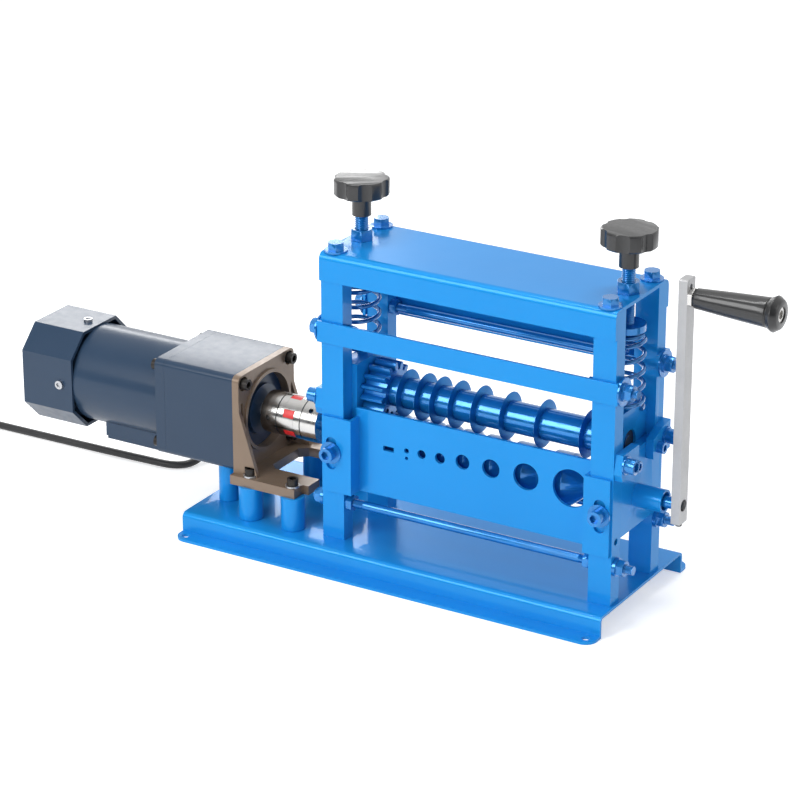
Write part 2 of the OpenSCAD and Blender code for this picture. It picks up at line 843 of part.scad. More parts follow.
module upper_block(side) {
    front = bay_front + slide_fit;
    back = bay_back - slide_fit;
    pocket = block_out - bush_recess - bush_length;
    color(blue) on_side(side) difference() {
        union() {
            block([block_in, front, block_split_z], [block_out, back, upper_block_top]);
            translate([knob_offset, shaft_y, upper_block_top - over])
                cylinder(d = pin_boss_d, h = spring_boss_h + over);
        }
        along_x(pocket, shaft_y, upper_shaft_z)
            cylinder(d = upper_bush_d + 2 * seat_fit, h = block_thickness);
        along_x(block_in - over, shaft_y, upper_shaft_z)
            cylinder(d = upper_journal_d + 2 * shaft_clear, h = block_thickness);
    }
}

module upper_block_left() {
    upper_block(-1);
}

module upper_block_right() {
    upper_block(1);
}

module upper_bushes() {
    color(steel) for (side = [-1, 1]) on_side(side)
        along_x(block_out - bush_recess - bush_length, shaft_y, upper_shaft_z)
            ring(upper_bush_d, upper_journal_d + 2 * run_fit, bush_length);
}

// Retainer plates over the lower blocks' cheeks

function retainer_outline(face) = let (h = retainer_top - retainer_bottom, w = retainer_reach,
    outer = post_pitch_y / 2 + post_depth / 2, lean = h * retainer_lean_share,
    corner = h * retainer_corner_share) face < 0 ?
        [[outer - w, retainer_bottom], [outer - lean, retainer_bottom], [outer, retainer_bottom + corner],
            [outer - lean, retainer_top], [outer - w, retainer_top]] :
        [[outer - w, retainer_bottom], [outer, retainer_bottom], [outer, retainer_top + lean],
            [outer - w / 2, retainer_top], [outer - w, retainer_top - corner]];

module retainer_plates() {
    color(blue) for (side = [-1, 1]) on_side(side) for (face = [-1, 1]) on_face(face) difference() {
        profile_x(out_x, retainer_t) polygon(retainer_outline(face));
        along_x(out_x - over, post_pitch_y / 2, retainer_screw_z)
            cylinder(d = screw_d + 2 * seat_fit, h = retainer_t + 2 * over);
        along_x(out_x - over, retainer_small_y, retainer_small_z)
            cylinder(d = small_d + 2 * seat_fit, h = retainer_t + 2 * over);
    }
}

module retainer_screws() {
    color(bright) for (side = [-1, 1]) on_side(side) for (face = [-1, 1]) on_face(face) {
        along_x(out_x + retainer_t, post_pitch_y / 2, retainer_screw_z) {
            ring(small_washer_d, screw_d, washer_t);
            translate([0, 0, washer_t])
                cap_screw(screw_d, screw_head_d, screw_head_h, retainer_t + screw_grip + washer_t);
        }
        along_x(out_x + retainer_t, retainer_small_y, retainer_small_z)
            cap_screw(small_d, small_head_d, small_head_h,
                retainer_t + cheek_thickness - channel_sheet - hole_spare);
    }
}

// Shafts, gears, roller and blades

module lower_shaft() {
    wide_start = spider_right + spider_play;
    wide_end = frame_x + block_in + bush_length - pass_gap;
    shaft_end = lever_x + lever_thickness - lever_recess;
    color(steel) {
        along_x(wide_start, shaft_y, lower_shaft_z) cylinder(d = shaft_d, h = wide_end - wide_start);
        along_x(wide_end - over, shaft_y, lower_shaft_z)
            cylinder(d = crank_shaft_d, h = shaft_end - wide_end + over);
    }
}

module upper_shaft() {
    reach = block_out - over;
    color(steel) {
        along_x(span_left, shaft_y, upper_shaft_z) cylinder(d = shaft_d, h = span_right - span_left);
        along_x(frame_x - reach, shaft_y, upper_shaft_z) cylinder(d = upper_journal_d, h = 2 * reach);
    }
}

function involute(a) = tan(a) * 180 / PI - a;
// Half the angle that a tooth covers at a radius
function half_tooth(r) = 90 / tooth_count + involute(pressure_angle)
    - involute(acos(min(1, base_r / r)));
gear_radii = [root_r, max(base_r, root_r) + tooth_module / 10, pitch_r, pitch_r + tooth_module / 2, tip_r];
function gear_outline() = [for (i = [0:tooth_count - 1]) each concat(
    [for (r = gear_radii) let (a = i * tooth_step - half_tooth(r)) [r * cos(a), r * sin(a)]],
    [for (k = [len(gear_radii) - 1:-1:0]) let (r = gear_radii[k], a = i * tooth_step + half_tooth(r))
        [r * cos(a), r * sin(a)]])];

module gear(z, turn) {
    color(steel) along_x(span_left, shaft_y, z) rotate([0, 0, turn]) difference() {
        linear_extrude(gear_width) polygon(gear_outline());
        translate([0, 0, -over]) cylinder(d = shaft_d + 2 * seat_fit, h = gear_width + 2 * over);
    }
}

module lower_gear() {
    gear(lower_shaft_z, 180);
}

module upper_gear() {
    gear(upper_shaft_z, tooth_step / 2);
}

// Lanes: place along the shafts and size of the wire hole
lanes = [for (i = [0:len(lane_shares) - 1])
    [plate_left + lane_shares[i] * plate_width, hole_shares[i] * wire_hole_max]];

function groove_depth(i) = lanes[i][1] * (i == 0 ? flat_groove_share : groove_depth_share);
function roller_outline() = let (r = roller_d / 2, bore = shaft_d / 2 + seat_fit,
    length = span_right - roller_left) concat([[bore, 0], [r, 0]],
        [for (i = [0:len(lanes) - 1]) let (x = lanes[i][0] - roller_left,
            w = lanes[i][1] * groove_width_share / 2)
            each [[r, x - w], [r - groove_depth(i), x], [r, x + w]]],
        [[r, length], [bore, length]]);

module feed_roller() {
    color(steel) along_x(roller_left, shaft_y, lower_shaft_z) rotate_extrude() polygon(roller_outline());
}

module blades() {
    r = blade_d / 2;
    bore = shaft_d / 2 + seat_fit;
    color(bright) for (lane = lanes) along_x(lane[0], shaft_y, upper_shaft_z) rotate_extrude()
        polygon([[bore, -blade_thickness / 2], [r - blade_bevel, -blade_thickness / 2],
            [r, -blade_edge / 2], [r, blade_edge / 2], [r - blade_bevel, blade_thickness / 2],
            [bore, blade_thickness / 2]]);
}

module blade_spacers() {
    starts = concat([span_left + gear_width], [for (lane = lanes) lane[0] + blade_thickness / 2]);
    ends = concat([for (lane = lanes) lane[0] - blade_thickness / 2], [span_right]);
    color(steel) for (i = [0:len(starts) - 1]) along_x(starts[i], shaft_y, upper_shaft_z)
        ring(spacer_d, shaft_d + 2 * seat_fit, ends[i] - starts[i]);
}

// Guide plate

module guide_plate() {
    z_hole = [for (i = [0:len(lanes) - 1]) wire_hole_z + hole_rise_shares[i] * wire_hole_max];
    sheet = plate_sheet;
    back = plate_front + sheet;
    color(blue) difference() {
        union() {
            block([plate_left, plate_front, plate_bottom], [plate_right, back, plate_top]);
            block([plate_left, ear_front, plate_bottom], [plate_left + sheet, back, ear_top]);
            block([plate_right - sheet, ear_front, plate_bottom], [plate_right, back, ear_top]);
            block([frame_x - ear_out, ear_front, plate_bottom], [plate_left + sheet, ear_back, ear_top]);
            block([plate_right - sheet, ear_front, plate_bottom], [frame_x + ear_out, ear_back, ear_top]);
        }
        for (i = [1:len(lanes) - 1]) along_y(lanes[i][0], plate_front - over, z_hole[i])
            cylinder(d = lanes[i][1], h = sheet + 2 * over);
        along_y(lanes[1][0], plate_front - over, z_hole[1] - second_drop_share * wire_hole_max)
            cylinder(d = second_hole_share * wire_hole_max, h = sheet + 2 * over);
        block([lanes[0][0] - lanes[0][1] / 2, plate_front - over,
                z_hole[0] - slot_height_share * wire_hole_max / 2],
            [lanes[0][0] + lanes[0][1] / 2, back + over,
                z_hole[0] + slot_height_share * wire_hole_max / 2]);
        for (side = [-1, 1]) on_side(side) ear_slot();
    }
}

module ear_slot() {
    half = (ear_slot_length - ear_slot_width) / 2;
    r = ear_slot_width / 2;
    mid = guide_screw_z - over;
    block([post_half - r, ear_front - over, mid - half], [post_half + r, ear_back + over, mid + half]);
    for (z = [mid - half, mid + half])
        along_y(post_half, ear_front - over, z) cylinder(r = r, h = plate_sheet + 2 * over);
}

module guide_screws() {
    color(blue) for (side = [-1, 1]) on_side(side)
        translate([post_half, ear_front - slide_fit, guide_screw_z]) rotate([90, 0, 0]) {
            ring(washer_d, screw_d, washer_t);
            translate([0, 0, washer_t]) cap_screw(screw_d, screw_head_d, screw_head_h,
                washer_t + slide_fit + plate_sheet + slide_fit + screw_grip);
        }
}

// Pressure screws and springs

// Round disc with one hollow of radius scallop_r between each two lobes
function knob_outline() = let (n = knob_lobes * 18, r = knob_d / 2, far = r - lobe_depth + scallop_r)
    [for (i = [0:n - 1]) let (a = 360 * i / n, b = (i % 18 - 9) * 360 / n,
        side = pow(scallop_r, 2) - pow(far * sin(b), 2),
        q = side > 0 ? min(r, far * cos(b) - sqrt(side)) : r) [q * cos(a), q * sin(a)]];

module knob(side) {
    r = knob_d / 2;
    top = neck_z + knob_neck;
    color(plastic) on_side(side) translate([knob_offset, shaft_y, 0]) difference() {
        union() {
            translate([0, 0, neck_z]) cylinder(d = neck_d, h = knob_neck + over);
            translate([0, 0, top]) intersection() {
                linear_extrude(knob_height) polygon(knob_outline());
                rotate_extrude() polygon([[0, 0], [r - knob_round, 0], [r, knob_round],
                    [r, knob_height - knob_round], [r - knob_round, knob_height], [0, knob_height]]);
            }
        }
        translate([0, 0, neck_z - over])
            cylinder(d = stud_d + 2 * seat_fit, h = knob_neck + knob_height / 2);
    }
}

module knob_left() {
    knob(-1);
}

module knob_right() {
    knob(1);
}

module stud(side) {
    length = neck_z + knob_neck + knob_height / 2 - 2 * over - stud_tip_z;
    color(steel) on_side(side) translate([knob_offset, shaft_y, stud_tip_z])
        cylinder(d = stud_d, h = length);
}

module stud_left() {
    stud(-1);
}

module stud_right() {
    stud(1);
}

module spring_seat(side) {
    color(steel) on_side(side) translate([knob_offset, shaft_y, seat_z]) difference() {
        union() {
            cylinder(d = seat_d, h = seat_t);
            translate([0, 0, -spring_boss_h]) cylinder(d = spring_boss_d, h = spring_boss_h + over);
        }
        translate([0, 0, seat_t - seat_socket]) cylinder(d = stud_d + 2 * run_fit, h = seat_t);
    }
}

module spring_seat_left() {
    spring_seat(-1);
}

module spring_seat_right() {
    spring_seat(1);
}

// Spring: close end turns, open middle turns, straight wire ends
spring_low = upper_block_top + wire_d / 2 + spring_gap;
spring_rise = seat_z - wire_d / 2 - spring_gap - spring_low;
end_pitch = wire_d + spring_end_gap;
mid_pitch = (spring_rise - 2 * end_pitch) / (spring_turns - 2);
function spring_z(turn) = turn < 1 ? turn * end_pitch :
    turn > spring_turns - 1 ? spring_rise - (spring_turns - turn) * end_pitch :
    end_pitch + (turn - 1) * mid_pitch;
spring_turn_points = [for (i = [0:spring_rings * spring_turns]) let (a = 360 * i / spring_rings)
    [spring_r * cos(a), spring_r * sin(a), spring_low + spring_z(i / spring_rings)]];
spring_path = concat([spring_turn_points[0] + [0, -wire_d, 0]], spring_turn_points,
    [spring_turn_points[spring_rings * spring_turns] + [0, wire_d, 0]]);

module spring(side) {
    color(bright) translate([frame_x + side * knob_offset, shaft_y, 0]) tube(spring_path, wire_d, 6);
}

module spring_left() {
    spring(-1);
}

module spring_right() {
    spring(1);
}

// Crank

module crank_lever() {
    low = lower_shaft_z - lever_end;
    high = grip_z + lever_end;
    color(steel) difference() {
        translate([lever_x, shaft_y, (low + high) / 2]) rotate([90, 0, 90])
            linear_extrude(lever_thickness) polygon(rounded(lever_width, high - low, lever_corner));
        along_x(lever_x - over, shaft_y, lower_shaft_z)
            cylinder(d = crank_shaft_d + 2 * seat_fit, h = lever_thickness + 2 * over);
        along_x(lever_x - over, shaft_y, grip_z)
            cylinder(d = screw_d + 2 * seat_fit, h = lever_thickness + 2 * over);
        along_x(lever_x - over, shaft_y, lever_hole_z)
            cylinder(d = lever_hole_d, h = lever_thickness + 2 * over);
        translate([lever_x + lever_thickness / 2, shaft_y, low - over])
            cylinder(d = set_screw_d + 2 * seat_fit, h = lever_end);
    }
}

module lever_set_screw() {
    top = lower_shaft_z - crank_shaft_d / 2 - seat_fit;
    color(black) translate([lever_x + lever_thickness / 2, shaft_y, top - set_screw_length]) difference() {
        cylinder(d = set_screw_d, h = set_screw_length);
        translate([0, 0, -over]) hexagon(set_screw_d * socket_share, set_screw_length / 3);
    }
}

module grip_bolt() {
    head_x = grip_x + grip_length - grip_bolt_head_h - over;
    color(bright) {
        along_x(lever_x, shaft_y, grip_z) cylinder(d = screw_d, h = head_x - lever_x + over);
        along_x(lever_x + lever_thickness, shaft_y, grip_z) hexagon(collar_af, collar_length);
        along_x(head_x, shaft_y, grip_z) difference() {
            cylinder(d = grip_bolt_head_d, h = grip_bolt_head_h);
            translate([0, 0, grip_bolt_head_h / 2])
                hexagon(grip_bolt_head_d * socket_share, grip_bolt_head_h);
        }
    }
}

module crank_grip() {
    l = grip_length;
    handle = l * grip_handle_share;
    flange = l * grip_flange_share;
    bore = screw_d / 2 + run_fit;
    head = grip_bolt_head_d / 2 + pass_gap;
    seat = l - grip_bolt_head_h - over - slide_fit;
    neck_r = grip_neck_d / 2;
    handle_r = grip_d / 2;
    flange_r = grip_flange_d / 2;
    color(plastic) along_x(grip_x, shaft_y, grip_z) rotate_extrude() polygon(concat(
        [[bore, 0], [neck_r - grip_edge, 0], [neck_r, grip_edge]],
        [for (i = [1:6]) let (s = i / 6, bulge = 0.75 * s + 0.25 * sin(90 * s))
            [neck_r + (handle_r - neck_r) * bulge, grip_edge + (handle - grip_edge) * s]],
        [[handle_r - grip_groove, handle + grip_groove],
            [handle_r - grip_groove, handle + 2 * grip_groove],
            [handle_r + grip_groove, handle + 3 * grip_groove],
            [flange_r - grip_groove, flange - grip_edge],
            [flange_r, flange], [flange_r - grip_groove, flange + grip_edge],
            [grip_end_d / 2 + grip_edge, l - grip_groove], [grip_end_d / 2, l],
            [head, l], [head, seat], [bore, seat]]));
}

// Motor bracket and standoffs

function foot_outline() = let (w = foot_width / 2, c = foot_cutout / 2, x0 = gearbox_x,
    x1 = gearbox_x + foot_length, x2 = gearbox_x + foot_length + foot_step, r = cutout_corner,
    xc = gearbox_x + cutout_depth) [[x0, -w], [x1, -w], [x1, foot_step_y - w], [x2, foot_step_y - w],
        [x2, -c], [xc + r, -c], [xc, r - c], [xc, c - r], [xc + r, c], [x2, c], [x2, w - foot_step_y],
        [x1, w - foot_step_y], [x1, w], [x0, w]];

module bracket_corner(sy, sz) {
    translate([0, shaft_y, gearbox_z]) mirror([0, sy < 0 ? 1 : 0, 0]) mirror([0, 0, sz < 0 ? 1 : 0])
        children();
}

// Side web, with a relief round the head of the foot screw that stands at it
module gusset(y) {
    foot_washer = small_washer_d - pocket_wall;
    difference() {
        translate([0, y + gusset_t, 0]) rotate([90, 0, 0]) linear_extrude(gusset_t)
            polygon([[bracket_front - over, foot_top - over],
                [bracket_front + gusset_foot, foot_top - over],
                [bracket_front + gusset_foot, foot_top + over], [bracket_front, gusset_top_z],
                [bracket_front - over, gusset_top_z]]);
        for (face = [-1, 1]) translate([standoff_xs[0], face * standoff_y, foot_top - 2 * over]) {
            cylinder(d = foot_washer + 2 * pass_gap, h = 2 * over + washer_t + pass_gap);
            cylinder(d = small_head_d + 2 * pass_gap, h = 3 * over + washer_t + small_head_h);
        }
    }
}

module motor_bracket() {
    half = gearbox_size / 2;
    foot_low = foot_top - foot_thickness;
    lip = bracket_opening + 2 * bracket_lip;
    color(bronze) difference() {
        union() {
            translate([gearbox_x, shaft_y, gearbox_z]) rotate([90, 0, 90]) linear_extrude(bracket_plate)
                polygon(rounded(gearbox_size, gearbox_size, gearbox_round));
            block([gearbox_x, shaft_y - half, foot_low + over],
                [bracket_front, shaft_y + half, gearbox_z - half / 2]);
            translate([0, 0, foot_low]) linear_extrude(foot_thickness) polygon(foot_outline());
            gusset(shaft_y - half);
            gusset(shaft_y + half - gusset_t);
            along_x(bracket_front - over, shaft_y, gearbox_z) cylinder(d = lip, h = lip_height + over);
        }
        along_x(gearbox_x - over, shaft_y, gearbox_z)
            cylinder(d = bracket_opening, h = bracket_plate + lip_height + 2 * over);
        for (sy = [-1, 1]) for (sz = [-1, 1]) bracket_corner(sy, sz) {
            along_x(gearbox_x - over, screw_square, screw_square)
                cylinder(d = small_d + 2 * seat_fit, h = bracket_plate + 2 * over);
            along_x(bracket_front - pocket_depth, screw_square, screw_square)
                cylinder(d = small_head_d + pocket_wall, h = screw_head_h + pocket_depth);
        }
        along_x(bracket_front - pocket_depth, shaft_y - bracket_opening / 2 - bracket_lip - pocket_wall,
            gearbox_z) slot_pocket();
        for (x = standoff_xs) for (y = [-standoff_y, standoff_y])
            translate([x, y, foot_low - over])
                cylinder(d = small_d + 2 * seat_fit, h = foot_thickness + 2 * over);
    }
}

module slot_pocket() {
    half = screw_square / 2;
    for (z = [-half, half]) translate([z, 0, 0]) cylinder(d = pocket_wall, h = pocket_depth + over);
    translate([-half, -pocket_wall / 2, 0]) cube([2 * half, pocket_wall, pocket_depth + over]);
}

module bracket_screws() {
    face_seat = bracket_front - pocket_depth;
    color(black) {
        for (sy = [-1, 1]) for (sz = [-1, 1]) bracket_corner(sy, sz)
            along_x(face_seat, screw_square, screw_square)
                cap_screw(small_d, small_head_d, screw_head_h, face_seat - gearbox_x + screw_grip);
        for (x = standoff_xs) for (y = [-standoff_y, standoff_y]) translate([x, y, foot_top]) {
            ring(small_washer_d - pocket_wall, small_d, washer_t);
            translate([0, 0, washer_t])
                cap_screw(small_d, small_head_d, small_head_h, washer_t + foot_thickness + screw_grip);
        }
    }
}

module standoff(x, y, d, top, drilled) {
    depth = screw_grip + hole_spare;
    color(blue) translate([x, y, base_height]) difference() {
        cylinder(d = d, h = top - base_height);
        translate([0, 0, -over]) cylinder(d = screw_d + 2 * seat_fit, h = depth + over);
        if (drilled) translate([0, 0, top - base_height - depth])
            cylinder(d = small_d + 2 * seat_fit, h = depth + over);
    }
}

module standoffs() {
    for (x = standoff_xs) for (y = [-standoff_y, standoff_y])
        standoff(x, y, standoff_d, foot_top - foot_thickness, true);
    for (y = [-rear_standoff_y, rear_standoff_y])
        standoff(rear_standoff_x, y, rear_standoff_d, gearbox_z - gearbox_size / 2, false);
}

// Gearmotor

module square_section(x, length) {
    translate([x, shaft_y, gearbox_z]) rotate([90, 0, 90]) linear_extrude(length)
        polygon(rounded(gearbox_size, gearbox_size, gearbox_round));
}

module gearbox_housing() {
    depth = screw_grip + hole_spare;
    color(slate) difference() {
        union() {
            square_section(flange_x + motor_flange, housing_length);
            along_x(gearbox_x - over, shaft_y, gearbox_z)
                cylinder(d = front_boss_d, h = front_boss_h + over);
        }
        along_x(gearbox_x - depth, shaft_y, gearbox_z)
            cylinder(d = output_shaft_d + 2 * run_fit, h = depth + front_boss_h + over);
        for (sy = [-1, 1]) for (sz = [-1, 1]) bracket_corner(sy, sz) {
            along_x(gearbox_x - depth, screw_square, screw_square)
                cylinder(d = small_d + 2 * seat_fit, h = depth + over);
            along_x(flange_x + motor_flange - over, screw_square, screw_square)
                cylinder(d = small_d + 2 * seat_fit, h = depth + over);
        }
    }
}

module gearbox_flange() {
    color(slate) difference() {
        square_section(flange_x, motor_flange);
        for (sy = [-1, 1]) for (sz = [-1, 1]) bracket_corner(sy, sz)
            along_x(flange_x - over, screw_square, screw_square)
                cylinder(d = small_d + 2 * seat_fit, h = motor_flange + 2 * over);
    }
}

module motor_screws() {
    color(black) for (sy = [-1, 1]) for (sz = [-1, 1]) bracket_corner(sy, sz)
        translate([flange_x, screw_square, screw_square]) rotate([0, -90, 0])
            cap_screw(small_d, small_head_d, small_head_h, motor_flange + screw_grip);
    color(bright) for (turn = [0, 90, 180, 270]) translate([cover_screw_x, shaft_y, gearbox_z])
        rotate([turn, 0, 0]) translate([0, 0, fan_cover_size / 2])
            cap_screw(cover_screw_d, cover_screw_head_d, cover_screw_head_h, cover_wall + cover_screw_d);
}

// Can with the necked bell that carries the fan cover
module motor_can() {
    bell_d = fan_cover_size - 2 * cover_wall - 2 * seat_fit;
    can = flange_x - bell_start;
    color(slate) difference() {
        union() {
            along_x(bell_start, shaft_y, gearbox_z) cylinder(d = motor_d, h = can);
            along_x(bell_start - bell_neck_length, shaft_y, gearbox_z)
                cylinder(d = bell_neck_d, h = bell_neck_length + over);
            along_x(bell_start - bell_neck_length - bell_length, shaft_y, gearbox_z)
                cylinder(d = bell_d, h = bell_length);
        }
        for (turn = [0, 90, 180, 270]) translate([cover_screw_x, shaft_y, gearbox_z]) rotate([turn, 0, 0])
            translate([0, 0, bell_d / 2 - cover_screw_d - hole_spare])
                cylinder(d = cover_screw_d + 2 * seat_fit, h = cover_wall + 2 * cover_screw_d);
    }
}

function octagon(size) = let (h = size / 2, c = size * cover_chamfer_share, k = h - c)
    [[h, -k], [h, k], [k, h], [-k, h], [-h, k], [-h, -k], [-k, -h], [k, -h]];

module fan_cover() {
    color(plastic) difference() {
        translate([cover_end, shaft_y, gearbox_z]) rotate([90, 0, 90])
            linear_extrude(fan_cover_length) polygon(octagon(fan_cover_size));
        translate([cover_end + cover_wall, shaft_y, gearbox_z]) rotate([90, 0, 90])
            linear_extrude(fan_cover_length) polygon(octagon(fan_cover_size - 2 * cover_wall));
        for (i = [0:vent_count - 1]) let (y = (i - (vent_count - 1) / 2) * vent_pitch)
            block([cover_end - over, shaft_y + y - vent_width / 2, gearbox_z - vent_height / 2],
                [cover_end + cover_wall + over, shaft_y + y + vent_width / 2, gearbox_z + vent_height / 2]);
        for (turn = [0, 90, 180, 270]) translate([cover_screw_x, shaft_y, gearbox_z]) rotate([turn, 0, 0])
            translate([0, 0, fan_cover_size / 2 - cover_wall - over])
                cylinder(d = cover_screw_d + 2 * seat_fit, h = cover_wall + 2 * over);
    }
}

module terminal_box() {
    top = gearbox_z;
    color(plastic) difference() {
        union() {
            block([terminal_left, terminal_front, terminal_bottom + terminal_lid],
                [terminal_right, terminal_back, top - motor_d / 4]);
            block([terminal_left + terminal_lid_rim, terminal_front + terminal_lid_rim, terminal_bottom],
                [terminal_right - terminal_lid_rim, terminal_back - terminal_lid_rim,
                    terminal_bottom + terminal_lid + over]);
        }
        along_x(terminal_left - over, shaft_y, gearbox_z)
            cylinder(d = motor_d + 2 * seat_fit, h = terminal_length + 2 * over);
        along_y(gland_x, terminal_back - gland_thread, gland_z)
            cylinder(d = gland_d + 2 * seat_fit, h = gland_thread + over);
    }
}

module cable_gland() {
    color(black) difference() {
        union() {
            along_y(gland_x, terminal_back - gland_thread, gland_z)
                cylinder(d = gland_d, h = gland_thread + over);
            along_y(gland_x, terminal_back, gland_z) hexagon(gland_af, gland_hex);
            along_y(gland_x, terminal_back + gland_hex, gland_z)
                cylinder(d1 = gland_d, d2 = cord_d + 2 * over, h = gland_dome);
        }
        along_y(gland_x, terminal_back + gland_thread - slide_fit, gland_z)
            cylinder(d = cord_d + 2 * pass_gap, h = gland_length);
    }
}

// Jaw coupling

// Three jaws whose sides stand square to the spider's arms
module hub_jaws(x, turn, length) {
    r = coupling_d / 2;
    function side(x) = (x - jaw_apex) * tan(jaw_angle);
    along_x(x, shaft_y, lower_shaft_z) for (i = [0:2]) intersection() {
        cylinder(r = r, h = length);
        rotate([0, 0, coupling_turn + turn + 120 * i]) linear_extrude(length)
            polygon([[jaw_root, -side(jaw_root)], [coupling_d, -side(coupling_d)],
                [coupling_d, side(coupling_d)], [jaw_root, side(jaw_root)]]);
    }
}

module hub(x, groove_at, screw_at, screw_turn, bore) {
    difference() {
        along_x(x, shaft_y, lower_shaft_z) cylinder(d = coupling_d, h = hub_length);
        along_x(x - over, shaft_y, lower_shaft_z)
            cylinder(d = bore + 2 * seat_fit, h = hub_length + 2 * over);
        along_x(x + groove_at, shaft_y, lower_shaft_z)
            ring(coupling_d + 2 * over, coupling_d - 2 * hub_groove, hub_groove);
        translate([x + screw_at, shaft_y, lower_shaft_z]) rotate([screw_turn, 0, 0])
            cylinder(d = hub_screw_d, h = coupling_d);
    }
}

module coupling_hub_motor() {
    color(bright) {
        hub(hub_left, hub_length * (1 - hub_groove_share) - hub_groove, hub_length / 3, hub_turns[0],
            output_shaft_d);
        hub_jaws(spider_left - over, 0, over + spider_length - spider_play);
    }
}

module coupling_hub_shaft() {
    color(bright) {
        hub(spider_right, hub_length * hub_groove_share, hub_length * 2 / 3, hub_turns[1], shaft_d);
        hub_jaws(spider_left + spider_play, 60, over + spider_length - spider_play);
    }
}

module coupling_spider() {
    r = coupling_d / 2 - spider_play;
    color(red) along_x(spider_left + spider_play, shaft_y, lower_shaft_z) intersection() {
        cylinder(r = r, h = spider_length - 2 * spider_play);
        union() {
            cylinder(d = spider_core_d, h = spider_length);
            for (i = [0:5]) rotate([0, 0, coupling_turn + jaw_angle + 60 * i])
                translate([0, -arm_width / 2, 0]) cube([coupling_d, arm_width, spider_length]);
        }
    }
}

module gearbox_shaft() {
    start = gearbox_x - screw_grip;
    color(steel) along_x(start, shaft_y, gearbox_z)
        cylinder(d = output_shaft_d, h = spider_left - spider_play - start);
}

// Mains cord, coil and plug

module power_cord() {
    color(black) tube(cord_route, cord_d, cord_sides);
}

// Coil: one layer winding in, then one layer winding out on top of it
function coil_turned(a) = a <= coil_half ? a / 360 : (2 * coil_half - a) / 360;
function coil_radius(a) = coil_d / 2 - coil_pitch * coil_turned(a);
function coil_lift(a) = let (s = min(1, max(0, (a - coil_half + coil_rise) / (2 * coil_rise))))
    coil_pitch * (1 - cos(180 * s)) / 2;
coil_turn_points = [for (i = [0:coil_total / 360 * coil_rings]) let (a = i * 360 / coil_rings)
    [coil_centre[0] - coil_radius(a) * sin(a), coil_centre[1] + coil_radius(a) * cos(a),
        cord_low + coil_lift(a)]];
coil_last = coil_turn_points[len(coil_turn_points) - 1];
plug_x = coil_last[0] + tail_length;
coil_path = concat(coil_turn_points, [
    [coil_last[0] + tail_length / 2, coil_last[1], (coil_last[2] + plug_z) / 2],
    [plug_x, coil_last[1], plug_z], [plug_x + cord_d, coil_last[1], plug_z]]);

module cord_coil() {
    color(black) tube(coil_path, cord_d, coil_sides);
}

module mains_plug() {
    r = plug_d / 2;
    neck = plug_neck_d / 2;
    color(black) difference() {
        along_x(plug_x, coil_last[1], plug_z) rotate_extrude() polygon([[0, 0], [neck, 0],
            [neck + plug_flare, plug_length / 2], [r, plug_length * 2 / 3], [r, plug_length],
            [0, plug_length]]);
        along_x(plug_x - over, coil_last[1], plug_z)
            cylinder(d = cord_d + 2 * pass_gap, h = over + 2 * cord_d);
    }
    color(bright) for (y = [-pin_pitch / 2, pin_pitch / 2])
        along_x(plug_x + plug_length - over, coil_last[1] + y, plug_z)
            cylinder(d = pin_d, h = pin_length + over);
}

echo(cord_route_mm = path_length(cord_route), coil_mm = path_length(coil_path));
echo(spring_gap_mm = own_gap(spring_path, wire_d, 6), coil_gap_mm = own_gap(coil_path, cord_d, 12));

base_plate();
base_screws();
post_front_left();
post_front_right();
post_rear_left();
post_rear_right();
top_channel();
channel_bolts();
channel_nuts();
front_strip();
rear_strip();
tie_rods();
tie_rod_nuts();
lower_block_left();
lower_block_right();
lower_bushes();
retainer_plates();
retainer_screws();
guide_screws();
motor_bracket();
bracket_screws();
standoffs();
gearbox_housing();
gearbox_flange();
motor_screws();
motor_can();
fan_cover();
terminal_box();
cable_gland();
power_cord();
cord_coil();
mains_plug();
lower_shaft();
lower_gear();
feed_roller();
gearbox_shaft();
coupling_hub_motor();
coupling_hub_shaft();
coupling_spider();
crank_lever();
lever_set_screw();
grip_bolt();
crank_grip();
upper_block_left();
upper_block_right();
upper_bushes();
upper_shaft();
upper_gear();
blades();
blade_spacers();
knob_left();
stud_left();
knob_right();
stud_right();
spring_seat_left();
spring_seat_right();
spring_left();
spring_right();
guide_plate();
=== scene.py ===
# Looks of the bench wire stripping machine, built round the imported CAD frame.
# Lengths are in metres in the part's frame: +X towards the crank, +Y to the back, +Z up.
import json
import math

import bmesh
import bpy
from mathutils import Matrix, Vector


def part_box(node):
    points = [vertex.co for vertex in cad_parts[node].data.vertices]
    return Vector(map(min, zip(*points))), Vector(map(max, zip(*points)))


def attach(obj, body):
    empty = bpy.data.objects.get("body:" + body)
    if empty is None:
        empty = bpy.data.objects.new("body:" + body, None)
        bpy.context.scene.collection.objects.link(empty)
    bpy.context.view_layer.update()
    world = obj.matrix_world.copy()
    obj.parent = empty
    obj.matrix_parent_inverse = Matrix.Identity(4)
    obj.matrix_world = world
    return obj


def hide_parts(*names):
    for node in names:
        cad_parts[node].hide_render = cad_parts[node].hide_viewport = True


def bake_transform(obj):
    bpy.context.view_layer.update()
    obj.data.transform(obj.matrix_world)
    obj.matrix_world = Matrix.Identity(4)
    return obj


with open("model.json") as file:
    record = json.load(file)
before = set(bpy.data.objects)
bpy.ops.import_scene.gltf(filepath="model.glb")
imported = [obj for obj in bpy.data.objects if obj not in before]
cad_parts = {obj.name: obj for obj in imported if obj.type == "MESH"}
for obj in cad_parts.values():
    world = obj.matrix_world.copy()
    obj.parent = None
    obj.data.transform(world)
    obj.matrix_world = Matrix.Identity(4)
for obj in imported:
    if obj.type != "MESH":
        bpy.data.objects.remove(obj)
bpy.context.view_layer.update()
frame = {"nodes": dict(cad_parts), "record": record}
NODES = frame["nodes"]
BODY_OF = {n: b for b, ns in frame["record"]["behaviour"]["bodies"].items() for n in ns}
SLOT_OF = {s["node"]: s["material_slot"] for s in frame["record"]["subparts"]}
MM = 0.001

